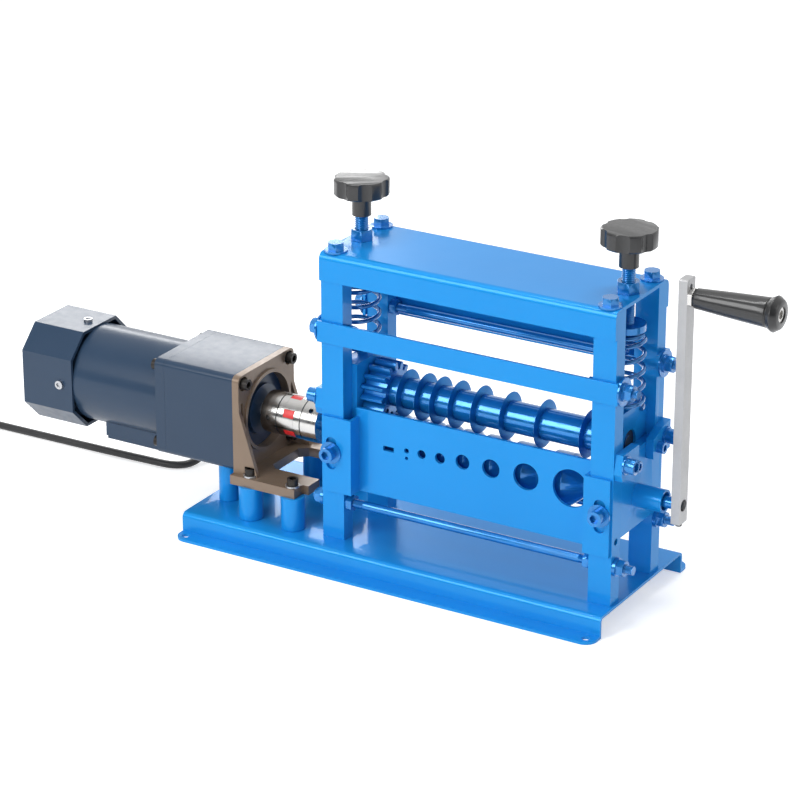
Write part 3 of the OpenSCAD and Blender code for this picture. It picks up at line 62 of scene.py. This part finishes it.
# Places in millimetres that several pieces share
SHAFT_Y = -9.3
LOWER_SHAFT_Z = 105
STUD_X = {"left": -61.8, "right": 192.2}

# Camera at the photograph's viewing angle
CAMERA_AT = Vector((1.30175, -2.23639, 1.19912))
CAMERA_TURN = math.radians(30.765)
CAMERA_RISE = math.radians(22.182)
LENS = 146.16
SENSOR = 36
CLIP_NEAR = 0.05
CLIP_FAR = 60


def make_camera():
    data = bpy.data.cameras.new("camera")
    data.sensor_width = SENSOR
    data.lens = LENS
    data.clip_start = CLIP_NEAR
    data.clip_end = CLIP_FAR
    camera = bpy.data.objects.new("camera", data)
    bpy.context.scene.collection.objects.link(camera)
    back = Vector((math.sin(CAMERA_TURN) * math.cos(CAMERA_RISE),
                   -math.cos(CAMERA_TURN) * math.cos(CAMERA_RISE), math.sin(CAMERA_RISE)))
    camera.rotation_mode = "QUATERNION"
    camera.rotation_quaternion = (-back).to_track_quat("-Z", "Y")
    camera.location = CAMERA_AT
    bpy.context.scene.camera = camera


make_camera()


# Materials: every texture is a noise whose middle range is stretched between two values
NOISE_LOW = 0.3
NOISE_HIGH = 0.7
NOISE_ROUGHNESS = 0.55


class Look:
    """A node material in the making: a Principled shader with helpers for texture."""

    def __init__(self, name, color, roughness, metallic=0.0, coat=0.0, coat_roughness=0.05):
        self.mat = bpy.data.materials.new(name)
        self.mat.use_nodes = True
        self.tree = self.mat.node_tree
        self.shader = self.tree.nodes["Principled BSDF"]
        self.color = color
        self.set("Base Color", (*color, 1))
        self.set("Roughness", roughness)
        self.set("Metallic", metallic)
        self.set("Coat Weight", coat)
        self.set("Coat Roughness", coat_roughness)
        self.place = self.add("ShaderNodeTexCoord").outputs["Object"]

    def add(self, kind, **settings):
        node = self.tree.nodes.new(kind)
        for key, value in settings.items():
            setattr(node, key, value)
        return node

    def set(self, socket, value):
        self.shader.inputs[socket].default_value = value

    def link(self, a, b):
        self.tree.links.new(a, b)

    def stretched(self, scale):
        node = self.add("ShaderNodeMapping")
        node.inputs["Scale"].default_value = scale
        self.link(self.place, node.inputs["Vector"])
        return node.outputs["Vector"]

    def noise(self, scale, detail, stretch=None):
        node = self.add("ShaderNodeTexNoise")
        node.inputs["Scale"].default_value = scale
        node.inputs["Detail"].default_value = detail
        node.inputs["Roughness"].default_value = NOISE_ROUGHNESS
        self.link(self.stretched(stretch) if stretch else self.place, node.inputs["Vector"])
        return node.outputs["Fac"]

    def remap(self, value, low, high):
        node = self.add("ShaderNodeMapRange")
        node.inputs["From Min"].default_value = NOISE_LOW
        node.inputs["From Max"].default_value = NOISE_HIGH
        node.inputs["To Min"].default_value = low
        node.inputs["To Max"].default_value = high
        self.link(value, node.inputs["Value"])
        return node.outputs["Result"]

    def tint(self, value, other):
        """Base colour that drifts between the own colour and another one."""
        node = self.add("ShaderNodeMix", data_type="RGBA")
        node.inputs["A"].default_value = (*self.color, 1)
        node.inputs["B"].default_value = (*other, 1)
        self.link(self.remap(value, 0, 1), node.inputs["Factor"])
        self.link(node.outputs["Result"], self.shader.inputs["Base Color"])

    def rough(self, value, low, high):
        self.link(self.remap(value, low, high), self.shader.inputs["Roughness"])

    def bump(self, value, strength, distance):
        node = self.add("ShaderNodeBump")
        node.inputs["Strength"].default_value = strength
        node.inputs["Distance"].default_value = distance
        self.link(value, node.inputs["Height"])
        self.link(node.outputs["Normal"], self.shader.inputs["Normal"])


def blue_paint():
    """Gloss powder coat with a little metal in it, under a thin clear layer."""
    look = Look("blue_paint", (0.010, 0.272, 0.70),
                roughness=0.3, metallic=0.2, coat=0.25, coat_roughness=0.02)
    look.set("Specular IOR Level", 0.1)
    look.tint(look.noise(scale=9, detail=1), (0.009, 0.258, 0.67))
    look.rough(look.noise(scale=40, detail=1), low=0.285, high=0.315)
    return look.mat


def blue_metal():
    """Blue coat over turned steel: deeper than the sheet, and metallic underneath."""
    look = Look("blue_metal", (0.010, 0.225, 0.62),
                roughness=0.2, metallic=0.45, coat=0.5, coat_roughness=0.03)
    look.tint(look.noise(scale=30, detail=3), (0.008, 0.17, 0.47))
    look.rough(look.noise(scale=160, detail=3), low=0.14, high=0.26)
    look.bump(look.noise(scale=1300, detail=2, stretch=(1, 0.12, 0.12)), strength=0.05, distance=0.0002)
    return look.mat


def disc_steel():
    """Sides of the blades: ground steel under a thin blue coat."""
    look = Look("disc_steel", (0.006, 0.20, 0.54), roughness=0.3, metallic=0.55)
    look.set("Specular IOR Level", 0.1)
    look.tint(look.noise(scale=40, detail=2), (0.005, 0.17, 0.46))
    look.rough(look.noise(scale=300, detail=2), low=0.3, high=0.4)
    look.bump(look.noise(scale=900, detail=1), strength=0.03, distance=0.0001)
    return look.mat


def painted_shade_bore():
    """Near-black steel colour used as painted shade on the bushes' end faces and the shafts' ends,
    standing in for the shade deep in a bore.
    """
    look = Look("painted_shade_bore", (0.004, 0.016, 0.035), roughness=0.5, metallic=0.2)
    look.tint(look.noise(scale=80, detail=2), (0.003, 0.011, 0.026))
    look.rough(look.noise(scale=200, detail=2), low=0.45, high=0.6)
    return look.mat


def zinc_steel():
    """Plain plated steel: base screws, blade rims, foot washers and fan cover screws."""
    look = Look("zinc_steel", (0.55, 0.56, 0.58), roughness=0.35, metallic=1.0)
    look.tint(look.noise(scale=80, detail=4), (0.45, 0.46, 0.48))
    look.rough(look.noise(scale=240, detail=3), low=0.28, high=0.42)
    look.bump(look.noise(scale=900, detail=2), strength=0.05, distance=0.0002)
    return look.mat


def machined_steel():
    """The gearbox's bare shaft, with fine marks of the cut round its axis."""
    look = Look("machined_steel", (0.5, 0.51, 0.54), roughness=0.32, metallic=1.0)
    look.tint(look.noise(scale=50, detail=3), (0.42, 0.43, 0.46))
    look.rough(look.noise(scale=2400, detail=2, stretch=(1, 0.05, 0.05)), low=0.285, high=0.36)
    look.bump(look.noise(scale=2600, detail=2, stretch=(1, 0.04, 0.04)), strength=0.12, distance=0.0002)
    return look.mat


def bright_steel():
    """Turned and polished hubs: fine rings round the axis of the shafts."""
    look = Look("bright_steel", (0.62, 0.61, 0.595), roughness=0.2, metallic=1.0)
    look.tint(look.noise(scale=35, detail=1), (0.58, 0.57, 0.555))
    look.rough(look.noise(scale=900, detail=1, stretch=(1, 0.02, 0.02)), low=0.16, high=0.24)
    look.bump(look.noise(scale=900, detail=1, stretch=(1, 0.02, 0.02)), strength=0.03, distance=0.0001)
    return look.mat


def spring_steel():
    """Drawn wire under a thin blue coat."""
    look = Look("spring_steel", (0.020, 0.19, 0.50),
                roughness=0.2, metallic=0.5, coat=0.7, coat_roughness=0.03)
    look.tint(look.noise(scale=60, detail=3), (0.015, 0.15, 0.42))
    look.rough(look.noise(scale=500, detail=3), low=0.12, high=0.24)
    look.bump(look.noise(scale=1500, detail=2), strength=0.04, distance=0.0002)
    return look.mat


def black_steel():
    """Blackened socket screws."""
    look = Look("black_steel", (0.022, 0.02, 0.019), roughness=0.38, metallic=0.6)
    look.tint(look.noise(scale=120, detail=3), (0.035, 0.031, 0.028))
    look.rough(look.noise(scale=500, detail=3), low=0.3, high=0.46)
    look.bump(look.noise(scale=1800, detail=2), strength=0.06, distance=0.0002)
    return look.mat


def bronze_casting():
    """Satin champagne coat on a casting."""
    look = Look("bronze_casting", (0.225, 0.160, 0.112),
                roughness=0.36, metallic=0.35, coat=0.15, coat_roughness=0.2)
    look.tint(look.noise(scale=22, detail=3), (0.195, 0.138, 0.096))
    look.rough(look.noise(scale=180, detail=4), low=0.28, high=0.42)
    look.bump(look.noise(scale=1100, detail=4), strength=0.08, distance=0.0003)
    return look.mat


def slate_paint():
    """Slate blue paint of the motor and its gearbox."""
    look = Look("slate_paint", (0.024, 0.050, 0.094), roughness=0.36, coat=0.3, coat_roughness=0.16)
    look.set("Specular IOR Level", 0.2)
    look.tint(look.noise(scale=12, detail=2), (0.021, 0.045, 0.086))
    look.rough(look.noise(scale=120, detail=4), low=0.3, high=0.4)
    look.bump(look.noise(scale=1400, detail=3), strength=0.05, distance=0.0002)
    return look.mat


def black_plastic():
    """Moulded black plastic of the cable gland and the plug; on the floors of the hubs' grooves it is
    painted shade.
    """
    look = Look("black_plastic", (0.009, 0.009, 0.010), roughness=0.31)
    look.tint(look.noise(scale=60, detail=3), (0.013, 0.013, 0.014))
    look.rough(look.noise(scale=300, detail=3), low=0.285, high=0.36)
    look.bump(look.noise(scale=2200, detail=3), strength=0.05, distance=0.0002)
    return look.mat


def grip_plastic():
    """Moulded black plastic of the grip and the star knobs, with a satin sheen."""
    look = Look("grip_plastic", (0.009, 0.009, 0.010),
                roughness=0.36, coat=0.6, coat_roughness=0.14)
    look.set("Specular IOR Level", 0.4)
    look.tint(look.noise(scale=45, detail=2), (0.012, 0.012, 0.013))
    look.rough(look.noise(scale=260, detail=2), low=0.34, high=0.42)
    look.bump(look.noise(scale=1600, detail=1), strength=0.02, distance=0.0001)
    return look.mat


def red_elastomer():
    """Cast red rubber of the coupling's spider."""
    look = Look("red_elastomer", (0.72, 0.02, 0.02), roughness=0.4, coat=0.2, coat_roughness=0.2)
    look.tint(look.noise(scale=90, detail=2), (0.62, 0.016, 0.016))
    look.rough(look.noise(scale=400, detail=3), low=0.34, high=0.48)
    look.bump(look.noise(scale=1500, detail=2), strength=0.06, distance=0.0002)
    return look.mat


def lever_aluminium():
    """Bead-blasted bar of the crank."""
    look = Look("lever_aluminium", (0.47, 0.47, 0.475), roughness=0.42, metallic=0.6)
    look.tint(look.noise(scale=40, detail=3), (0.43, 0.43, 0.435))
    look.rough(look.noise(scale=500, detail=4), low=0.36, high=0.5)
    look.bump(look.noise(scale=2600, detail=3), strength=0.1, distance=0.0002)
    return look.mat


def cord_rubber():
    """Dull black sheath of the mains cord."""
    look = Look("cord_rubber", (0.016, 0.016, 0.017), roughness=0.45)
    look.tint(look.noise(scale=70, detail=3), (0.022, 0.022, 0.023))
    look.rough(look.noise(scale=350, detail=3), low=0.38, high=0.52)
    look.bump(look.noise(scale=1800, detail=3), strength=0.1, distance=0.0002)
    return look.mat


LOOKS = {make.__name__: make() for make in (
    blue_paint, blue_metal, disc_steel, painted_shade_bore, zinc_steel, machined_steel, bright_steel,
    spring_steel, black_steel, bronze_casting, slate_paint, black_plastic, grip_plastic,
    red_elastomer, lever_aluminium, cord_rubber)}


# Mesh helpers
SAME_PLACE = 2e-6
SAME_PLANE = math.radians(0.6)
EDGE_ANGLE = 35
WIRE_ANGLE = 50
EDGE_SEGMENTS = 2


def new_object(name, mesh, slot, body):
    """Links a mesh under its name with its slot's material; a piece given no body, such as a spring
    wire, is left unattached here.
    """
    obj = bpy.data.objects.new(name, mesh)
    bpy.context.scene.collection.objects.link(obj)
    mesh.materials.clear()
    mesh.materials.append(LOOKS[slot])
    if body:
        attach(obj, body)
    return obj


def smooth(mesh, angle):
    for poly in mesh.polygons:
        poly.use_smooth = True
    mesh.set_sharp_from_angle(angle=math.radians(angle))


def clean_copy(node):
    """A node's mesh with its flat faces joined and its shading reset."""
    bm = bmesh.new()
    bm.from_mesh(NODES[node].data)
    bmesh.ops.remove_doubles(bm, verts=bm.verts, dist=SAME_PLACE)
    bmesh.ops.dissolve_limit(bm, angle_limit=SAME_PLANE, verts=bm.verts, edges=bm.edges)
    mesh = bpy.data.meshes.new(node + "_dressed")
    bm.to_mesh(mesh)
    bm.free()
    return mesh


# Faces of a piece with a look of their own: the slot, and the test of a face's middle and normal
# The coupling hubs' grooves lie between two radii, and their walls don't face along the shafts; the
# floors found this way are painted black as painted shade in the grooves
GROOVE_R = 18.7 * MM
BORE_R = 15 * MM
ALONG_SHAFT = 0.7
# Shares of a normal along X: a blade's flat side has the larger one, its sloping rim the rest
RIM_SLOPE = 0.05
FLAT_SIDE = 0.97
# A shaft's end lies this far or more from the middle between the two end frames; its end face is
# painted near-black as painted shade
MIDDLE_X = 65.2 * MM
JOURNAL_END = 125 * MM
# Heights between which the foot washers lie, and the place beyond which the fan cover begins
WASHER_Z = (58.9 * MM, 60.8 * MM)
FAN_COVER_X = -300 * MM


def flat_side(place, normal):
    return abs(normal.x) > FLAT_SIDE


def bevel_side(place, normal):
    return RIM_SLOPE < abs(normal.x) < FLAT_SIDE


def shaft_end(place, normal):
    return flat_side(place, normal) and abs(place.x - MIDDLE_X) > JOURNAL_END


def groove_painted_shade(place, normal):
    off_axis = math.hypot(place.y - SHAFT_Y * MM, place.z - LOWER_SHAFT_Z * MM)
    return BORE_R < off_axis < GROOVE_R and abs(normal.x) < ALONG_SHAFT


def at_foot_washer(place, normal):
    return WASHER_Z[0] < place.z < WASHER_Z[1]


def at_fan_cover(place, normal):
    return place.x < FAN_COVER_X


SECOND_LOOKS = {
    # Painted shade: the floors of the coupling hubs' grooves are painted black
    "coupling_hub_motor": [("black_plastic", groove_painted_shade)],
    "coupling_hub_shaft": [("black_plastic", groove_painted_shade)],
    "blades": [("disc_steel", flat_side), ("zinc_steel", bevel_side)],
    # Painted shade: the bushes' end faces and the shafts' far ends get the near-black bore colour
    "upper_bushes": [("painted_shade_bore", flat_side)],
    "upper_shaft": [("painted_shade_bore", shaft_end)],
    "lower_shaft": [("painted_shade_bore", shaft_end)],
    "motor_screws": [("zinc_steel", at_fan_cover)],
    "bracket_screws": [("zinc_steel", at_foot_washer)]}


def dress(node, width):
    """Stands for a CAD node: the same solid with its edges broken as the real one's are."""
    mesh = clean_copy(node)
    obj = new_object(node + "_dressed", mesh, SLOT_OF[node], BODY_OF[node])
    for slot, chosen in SECOND_LOOKS.get(node, []):
        mesh.materials.append(LOOKS[slot])
        for poly in mesh.polygons:
            if chosen(poly.center, poly.normal):
                poly.material_index = len(mesh.materials) - 1
    smooth(mesh, EDGE_ANGLE)
    bevel = obj.modifiers.new("edges", "BEVEL")
    bevel.width = width * MM
    bevel.segments = EDGE_SEGMENTS
    bevel.limit_method = "ANGLE"
    bevel.angle_limit = math.radians(EDGE_ANGLE)
    bevel.harden_normals = True
    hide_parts(node)


def tube_mesh(name, points, radius, sides):
    """A round closed tube along points, its rings carried along the path without twist."""
    points = [Vector(p) for p in points]
    tangents = []
    for i in range(len(points)):
        a = points[max(i - 1, 0)]
        b = points[min(i + 1, len(points) - 1)]
        tangents.append((b - a).normalized())
    normal = tangents[0].orthogonal().normalized()
    verts = []
    for p, t in zip(points, tangents):
        normal = (normal - t * normal.dot(t)).normalized()
        side = t.cross(normal)
        for k in range(sides):
            a = 2 * math.pi * k / sides
            verts.append(p + (normal * math.cos(a) + side * math.sin(a)) * radius)
    faces = []
    for i in range(len(points) - 1):
        for k in range(sides):
            j = (k + 1) % sides
            faces.append((i * sides + k, i * sides + j, (i + 1) * sides + j, (i + 1) * sides + k))
    faces.append(tuple(reversed(range(sides))))
    faces.append(tuple(range(len(verts) - sides, len(verts))))
    mesh = bpy.data.meshes.new(name)
    mesh.from_pydata([tuple(v) for v in verts], [], faces)
    smooth(mesh, WIRE_ANGLE)
    return mesh


# Mains cord: the CAD route in millimetres, one smooth line through its free stretch and its coil
ROUTE = [(-262, 19, 61), (-262, 37, 61), (-262.6, 45, 60), (-264, 54, 56.6), (-266, 62.6, 50.4),
         (-268.6, 69, 41.6), (-271.4, 71.6, 31.4), (-274.6, 69.8, 21), (-278, 64.4, 12.2),
         (-281.8, 56.8, 6.4), (-286, 48.8, 3.9), (-292, 42, 3.5), (-300.5, 37.8, 3.5),
         (-310, 36.5, 3.5), (-324, 36, 3.5), (-340, 35.4, 3.5), (-357, 34.9, 3.5), (-375, 34.5, 3.5),
         (-393, 34.2, 3.5), (-411, 34, 3.5), (-429, 33.8, 3.5), (-447, 33.6, 3.5), (-465, 33.4, 3.5),
         (-483, 33.2, 3.5), (-501, 33.1, 3.5), (-519, 33, 3.5), (-537, 33, 3.5), (-549, 33, 3.5),
         (-560, 33, 3.5)]
CORD_D = 7
CORD_CURVE_STEPS = 6
CORD_RING_STEPS = 5
COIL_D = 100
COIL_PLAY = 0.6
COIL_LOOPS = 2
COIL_RINGS = 24
COIL_RISE = 90
COIL_AT = (-560, -17)
TAIL = 16
PLUG_Z = 15


def coil_points():
    """One layer winding in, then one layer winding out on top of it, then the tail to the plug."""
    pitch = CORD_D + COIL_PLAY
    half = COIL_LOOPS * 360
    total = 2 * half + 180
    out = []
    for i in range(total * COIL_RINGS // 360 + 1):
        a = i * 360 / COIL_RINGS
        turned = a / 360 if a <= half else (2 * half - a) / 360
        r = COIL_D / 2 - pitch * turned
        s = min(1, max(0, (a - half + COIL_RISE) / (2 * COIL_RISE)))
        lift = pitch * (1 - math.cos(math.pi * s)) / 2
        b = math.radians(a)
        out.append((COIL_AT[0] - r * math.sin(b), COIL_AT[1] + r * math.cos(b), CORD_D / 2 + lift))
    x, y, z = out[-1]
    out.append((x + TAIL / 2, y, (z + PLUG_Z) / 2))
    out.append((x + TAIL, y, PLUG_Z))
    out.append((x + TAIL + CORD_D, y, PLUG_Z))
    return out


def make_cord():
    points = ROUTE + coil_points()[1:]
    curve = bpy.data.curves.new("mains_cord", "CURVE")
    curve.dimensions = "3D"
    curve.bevel_depth = CORD_D / 2 * MM
    curve.bevel_resolution = CORD_RING_STEPS
    curve.use_fill_caps = True
    curve.resolution_u = CORD_CURVE_STEPS
    spline = curve.splines.new("BEZIER")
    spline.bezier_points.add(len(points) - 1)
    places = [Vector(p) * MM for p in points]
    for i, (point, place) in enumerate(zip(spline.bezier_points, places)):
        before = places[max(i - 1, 0)]
        after = places[min(i + 1, len(places) - 1)]
        along = (after - before).normalized()
        point.co = place
        point.handle_left_type = point.handle_right_type = "FREE"
        point.handle_left = place - along * (place - before).length / 3
        point.handle_right = place + along * (after - place).length / 3
    cord = bpy.data.objects.new("mains_cord", curve)
    bpy.context.scene.collection.objects.link(cord)
    curve.materials.append(LOOKS["cord_rubber"])
    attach(cord, "frame")
    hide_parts("power_cord", "cord_coil")


make_cord()


# Springs: round wire with close end turns between the frame and the moving seat, in millimetres
SPRING_R = 14.85
WIRE_R = 1.9
SPRING_LOW = 182.5
SPRING_RISE = 65
SPRING_TURNS = 6
END_PITCH = 5.8
SPRING_STEPS = 28
WIRE_SIDES = 14


def spring_height(turn):
    """Height over the low end: one close turn at each end and an even pitch between."""
    middle = (SPRING_RISE - 2 * END_PITCH) / (SPRING_TURNS - 2)
    if turn < 1:
        return turn * END_PITCH
    if turn > SPRING_TURNS - 1:
        return SPRING_RISE - (SPRING_TURNS - turn) * END_PITCH
    return END_PITCH + (turn - 1) * middle


def make_spring(side, x):
    node = "spring_" + side
    points = []
    for i in range(SPRING_TURNS * SPRING_STEPS + 1):
        turn = i / SPRING_STEPS
        a = 2 * math.pi * turn
        points.append((x + SPRING_R * math.cos(a), SHAFT_Y + SPRING_R * math.sin(a),
                       SPRING_LOW + spring_height(turn)))
    mesh = tube_mesh(node + "_wire", [Vector(p) * MM for p in points], WIRE_R * MM, WIRE_SIDES)
    obj = new_object(node + "_wire", mesh, SLOT_OF[node], None)
    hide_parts(node)
    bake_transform(obj)


for side, x in STUD_X.items():
    make_spring(side, x)


# Threads: cylinders in millimetres whose radius follows a helix, with smooth stretches where asked
DEPTH_SHARE = 0.54
STEPS_A_PITCH = 4
THREAD_ANGLE = 40
STUD_R = 5.9
STUD_PITCH = 1.75
STUD_SIDES = 20
STUD_TIP = 3
STUD_HEAD = 14
ROD_R = 4.0
ROD_PITCH = 1.25
ROD_SIDES = 16
ROD_TIP = 0.8
ROD_THREAD = 50
ROD_PLACES = ((-46.4, 54), (-46.4, 211), (27.8, 70), (27.8, 211))


def thread_mesh(name, runs, sides):
    """Runs: (origin, axis, start, end, radius, pitch, threaded stretches as pairs)."""
    verts = []
    faces = []
    for origin, axis, start, end, radius, pitch, threaded in runs:
        origin = Vector(origin)
        axis = Vector(axis)
        u = axis.orthogonal().normalized()
        v = axis.cross(u)
        depth = DEPTH_SHARE * pitch
        stations = {start, end}
        for a, b in threaded:
            n = max(2, round((b - a) / (pitch / STEPS_A_PITCH)))
            stations.update(a + (b - a) * i / n for i in range(n + 1))
        stations = sorted(stations)
        base = len(verts)
        for s in stations:
            cut = any(a < s < b for a, b in threaded)
            for k in range(sides):
                angle = 2 * math.pi * k / sides
                r = radius
                if cut:
                    phase = (s / pitch - k / sides) % 1
                    r -= depth * (1 - abs(2 * phase - 1))
                out = u * math.cos(angle) + v * math.sin(angle)
                verts.append((origin + axis * s + out * r) * MM)
        for i in range(len(stations) - 1):
            for k in range(sides):
                j = (k + 1) % sides
                a = base + i * sides
                b = a + sides
                faces.append((a + k, a + j, b + j, b + k))
        faces.append(tuple(base + k for k in reversed(range(sides))))
        top = base + (len(stations) - 1) * sides
        faces.append(tuple(top + k for k in range(sides)))
    mesh = bpy.data.meshes.new(name)
    mesh.from_pydata([tuple(p) for p in verts], [], faces)
    smooth(mesh, THREAD_ANGLE)
    return mesh


def make_studs():
    for side, x in STUD_X.items():
        node = "stud_" + side
        low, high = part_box(node)
        start, end = low.z / MM, high.z / MM
        run = ((x, SHAFT_Y, 0), (0, 0, 1), start, end, STUD_R, STUD_PITCH,
               [(start + STUD_TIP, end - STUD_HEAD)])
        mesh = thread_mesh(node + "_thread", [run], STUD_SIDES)
        obj = new_object(node + "_thread", mesh, "blue_metal", "knob_" + side)
        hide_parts(node)


def make_tie_rods():
    low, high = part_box("tie_rods")
    start, end = low.x / MM, high.x / MM
    threaded = [(start + ROD_TIP, start + ROD_THREAD), (end - ROD_THREAD, end - ROD_TIP)]
    runs = [((0, y, z), (1, 0, 0), start, end, ROD_R, ROD_PITCH, threaded) for y, z in ROD_PLACES]
    mesh = thread_mesh("tie_rods_thread", runs, ROD_SIDES)
    obj = new_object("tie_rods_thread", mesh, "blue_metal", "frame")
    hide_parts("tie_rods")


make_studs()
make_tie_rods()

# Rigid pieces with their edges broken: width in millimetres
WIDTHS = {
    "base_plate": 0.5, "base_screws": 0.4, "post_front_left": 0.6, "post_front_right": 0.6,
    "post_rear_left": 0.6, "post_rear_right": 0.6, "top_channel": 0.5, "channel_bolts": 0.45,
    "channel_nuts": 0.5, "front_strip": 0.6, "rear_strip": 0.6, "tie_rod_nuts": 0.4,
    "lower_block_left": 0.6, "lower_block_right": 0.6, "lower_bushes": 0.3, "retainer_plates": 0.8,
    "retainer_screws": 0.5, "guide_screws": 0.5, "motor_bracket": 0.6, "bracket_screws": 0.4,
    "standoffs": 0.5, "gearbox_housing": 0.6, "gearbox_flange": 0.6, "motor_screws": 0.4,
    "motor_can": 0.8, "fan_cover": 0.5, "terminal_box": 0.6, "cable_gland": 0.4,
    "lower_shaft": 0.5, "lower_gear": 0.15, "feed_roller": 0.2, "gearbox_shaft": 0.3,
    "coupling_hub_motor": 0.35, "coupling_hub_shaft": 0.35, "coupling_spider": 0.3,
    "crank_lever": 0.5, "lever_set_screw": 0.3, "grip_bolt": 0.4, "crank_grip": 0.3,
    "upper_block_left": 0.6, "upper_block_right": 0.6, "upper_bushes": 0.3, "upper_shaft": 0.4,
    "upper_gear": 0.15, "blades": 0.1, "blade_spacers": 0.2, "knob_left": 0.8, "knob_right": 0.8,
    "spring_seat_left": 0.4, "spring_seat_right": 0.4, "guide_plate": 0.7}
for node, width in WIDTHS.items():
    dress(node, width)

# The plug keeps its CAD solid, which the cord's far end carries
NODES["mains_plug"].data.materials.clear()
NODES["mains_plug"].data.materials.append(LOOKS[SLOT_OF["mains_plug"]])


# Stage: a plain pale floor, a white surround and soft studio lamps
FLOOR_HALF = 8
FLOOR_Z = -0.0002
FLOOR_PALE = 0.86
FLOOR_ROUGHNESS = 0.9
FLOOR_GLOW = 0.5
ROOM_COLOR = (0.93, 0.96, 1, 1)
ROOM_STRENGTH = 0.45
# Along Y the room that is seen is dark behind the camera and white behind the machine
SEEN_DARK = (0.05, 0.055, 0.065, 1)
SEEN_WHITE = (1, 1, 1, 1)
SEEN_FROM = -0.75
SEEN_TO = 0.15
# Lamps: place, target, size and power
LAMPS = {
    "key": ((-1.0, -2.4, 1.7), (0, 0, 0.15), (1.5, 1.5), 50),
    "front": ((0.7, -2.8, 0.9), (0, 0, 0.15), (1.2, 1.0), 12),
    "top": ((-0.1, 0.1, 2.0), (0, 0, 0.1), (1.8, 0.22), 16),
    "back": ((-0.92, 0.95, 0.6), (-0.3, 0, 0.12), (0.5, 0.26), 2.4),
    "right": ((2.4, 0.2, 1.3), (0.1, 0, 0.15), (1.0, 1.2), 4.5)}


def background_ray(tree):
    """One for the rays that bring the background: straight, mirrored or through glass."""
    path = tree.nodes.new("ShaderNodeLightPath")
    found = path.outputs["Is Camera Ray"]
    for name in ("Is Glossy Ray", "Is Transmission Ray"):
        either = tree.nodes.new("ShaderNodeMath")
        either.operation = "MAXIMUM"
        tree.links.new(found, either.inputs[0])
        tree.links.new(path.outputs[name], either.inputs[1])
        found = either.outputs[0]
    return found


def make_floor():
    corners = ((-1, -1), (1, -1), (1, 1), (-1, 1))
    mesh = bpy.data.meshes.new("floor")
    mesh.from_pydata([(x * FLOOR_HALF, y * FLOOR_HALF, FLOOR_Z) for x, y in corners], [],
                     [(0, 1, 2, 3)])
    floor = bpy.data.objects.new("floor", mesh)
    bpy.context.scene.collection.objects.link(floor)
    mat = bpy.data.materials.new("floor")
    mat.use_nodes = True
    tree = mat.node_tree
    shader = tree.nodes["Principled BSDF"]
    shader.inputs["Base Color"].default_value = (FLOOR_PALE, FLOOR_PALE, FLOOR_PALE, 1)
    shader.inputs["Roughness"].default_value = FLOOR_ROUGHNESS
    shader.inputs["Specular IOR Level"].default_value = 0.0
    glow = tree.nodes.new("ShaderNodeMath")
    glow.operation = "MULTIPLY"
    glow.inputs[1].default_value = FLOOR_GLOW
    tree.links.new(background_ray(tree), glow.inputs[0])
    shader.inputs["Emission Color"].default_value = (1, 1, 1, 1)
    tree.links.new(glow.outputs[0], shader.inputs["Emission Strength"])
    mesh.materials.append(mat)


def make_world():
    world = bpy.data.worlds.new("studio")
    bpy.context.scene.world = world
    world.use_nodes = True
    tree = world.node_tree
    plain = tree.nodes["Background"]
    plain.inputs["Color"].default_value = ROOM_COLOR
    plain.inputs["Strength"].default_value = ROOM_STRENGTH
    seen = tree.nodes.new("ShaderNodeBackground")
    coord = tree.nodes.new("ShaderNodeTexCoord")
    split = tree.nodes.new("ShaderNodeSeparateXYZ")
    tree.links.new(coord.outputs["Generated"], split.inputs[0])
    ramp = tree.nodes.new("ShaderNodeValToRGB")
    along = tree.nodes.new("ShaderNodeMapRange")
    along.inputs["From Min"].default_value = SEEN_FROM
    along.inputs["From Max"].default_value = SEEN_TO
    tree.links.new(split.outputs["Y"], along.inputs["Value"])
    tree.links.new(along.outputs["Result"], ramp.inputs["Fac"])
    ramp.color_ramp.elements[0].color = SEEN_DARK
    ramp.color_ramp.elements[1].color = SEEN_WHITE
    tree.links.new(ramp.outputs["Color"], seen.inputs["Color"])
    mix = tree.nodes.new("ShaderNodeMixShader")
    tree.links.new(background_ray(tree), mix.inputs["Fac"])
    tree.links.new(plain.outputs[0], mix.inputs[1])
    tree.links.new(seen.outputs[0], mix.inputs[2])
    tree.links.new(mix.outputs[0], tree.nodes["World Output"].inputs["Surface"])


def make_lamp(name, place, target, size, power):
    data = bpy.data.lights.new(name, "AREA")
    data.shape = "RECTANGLE"
    data.size, data.size_y = size
    data.energy = power
    obj = bpy.data.objects.new(name, data)
    bpy.context.scene.collection.objects.link(obj)
    obj.location = place
    obj.rotation_mode = "QUATERNION"
    obj.rotation_quaternion = (Vector(target) - Vector(place)).to_track_quat("-Z", "Y")


make_floor()
make_world()
for name, settings in LAMPS.items():
    make_lamp(name, *settings)

bpy.context.scene.view_settings.view_transform = "Standard"
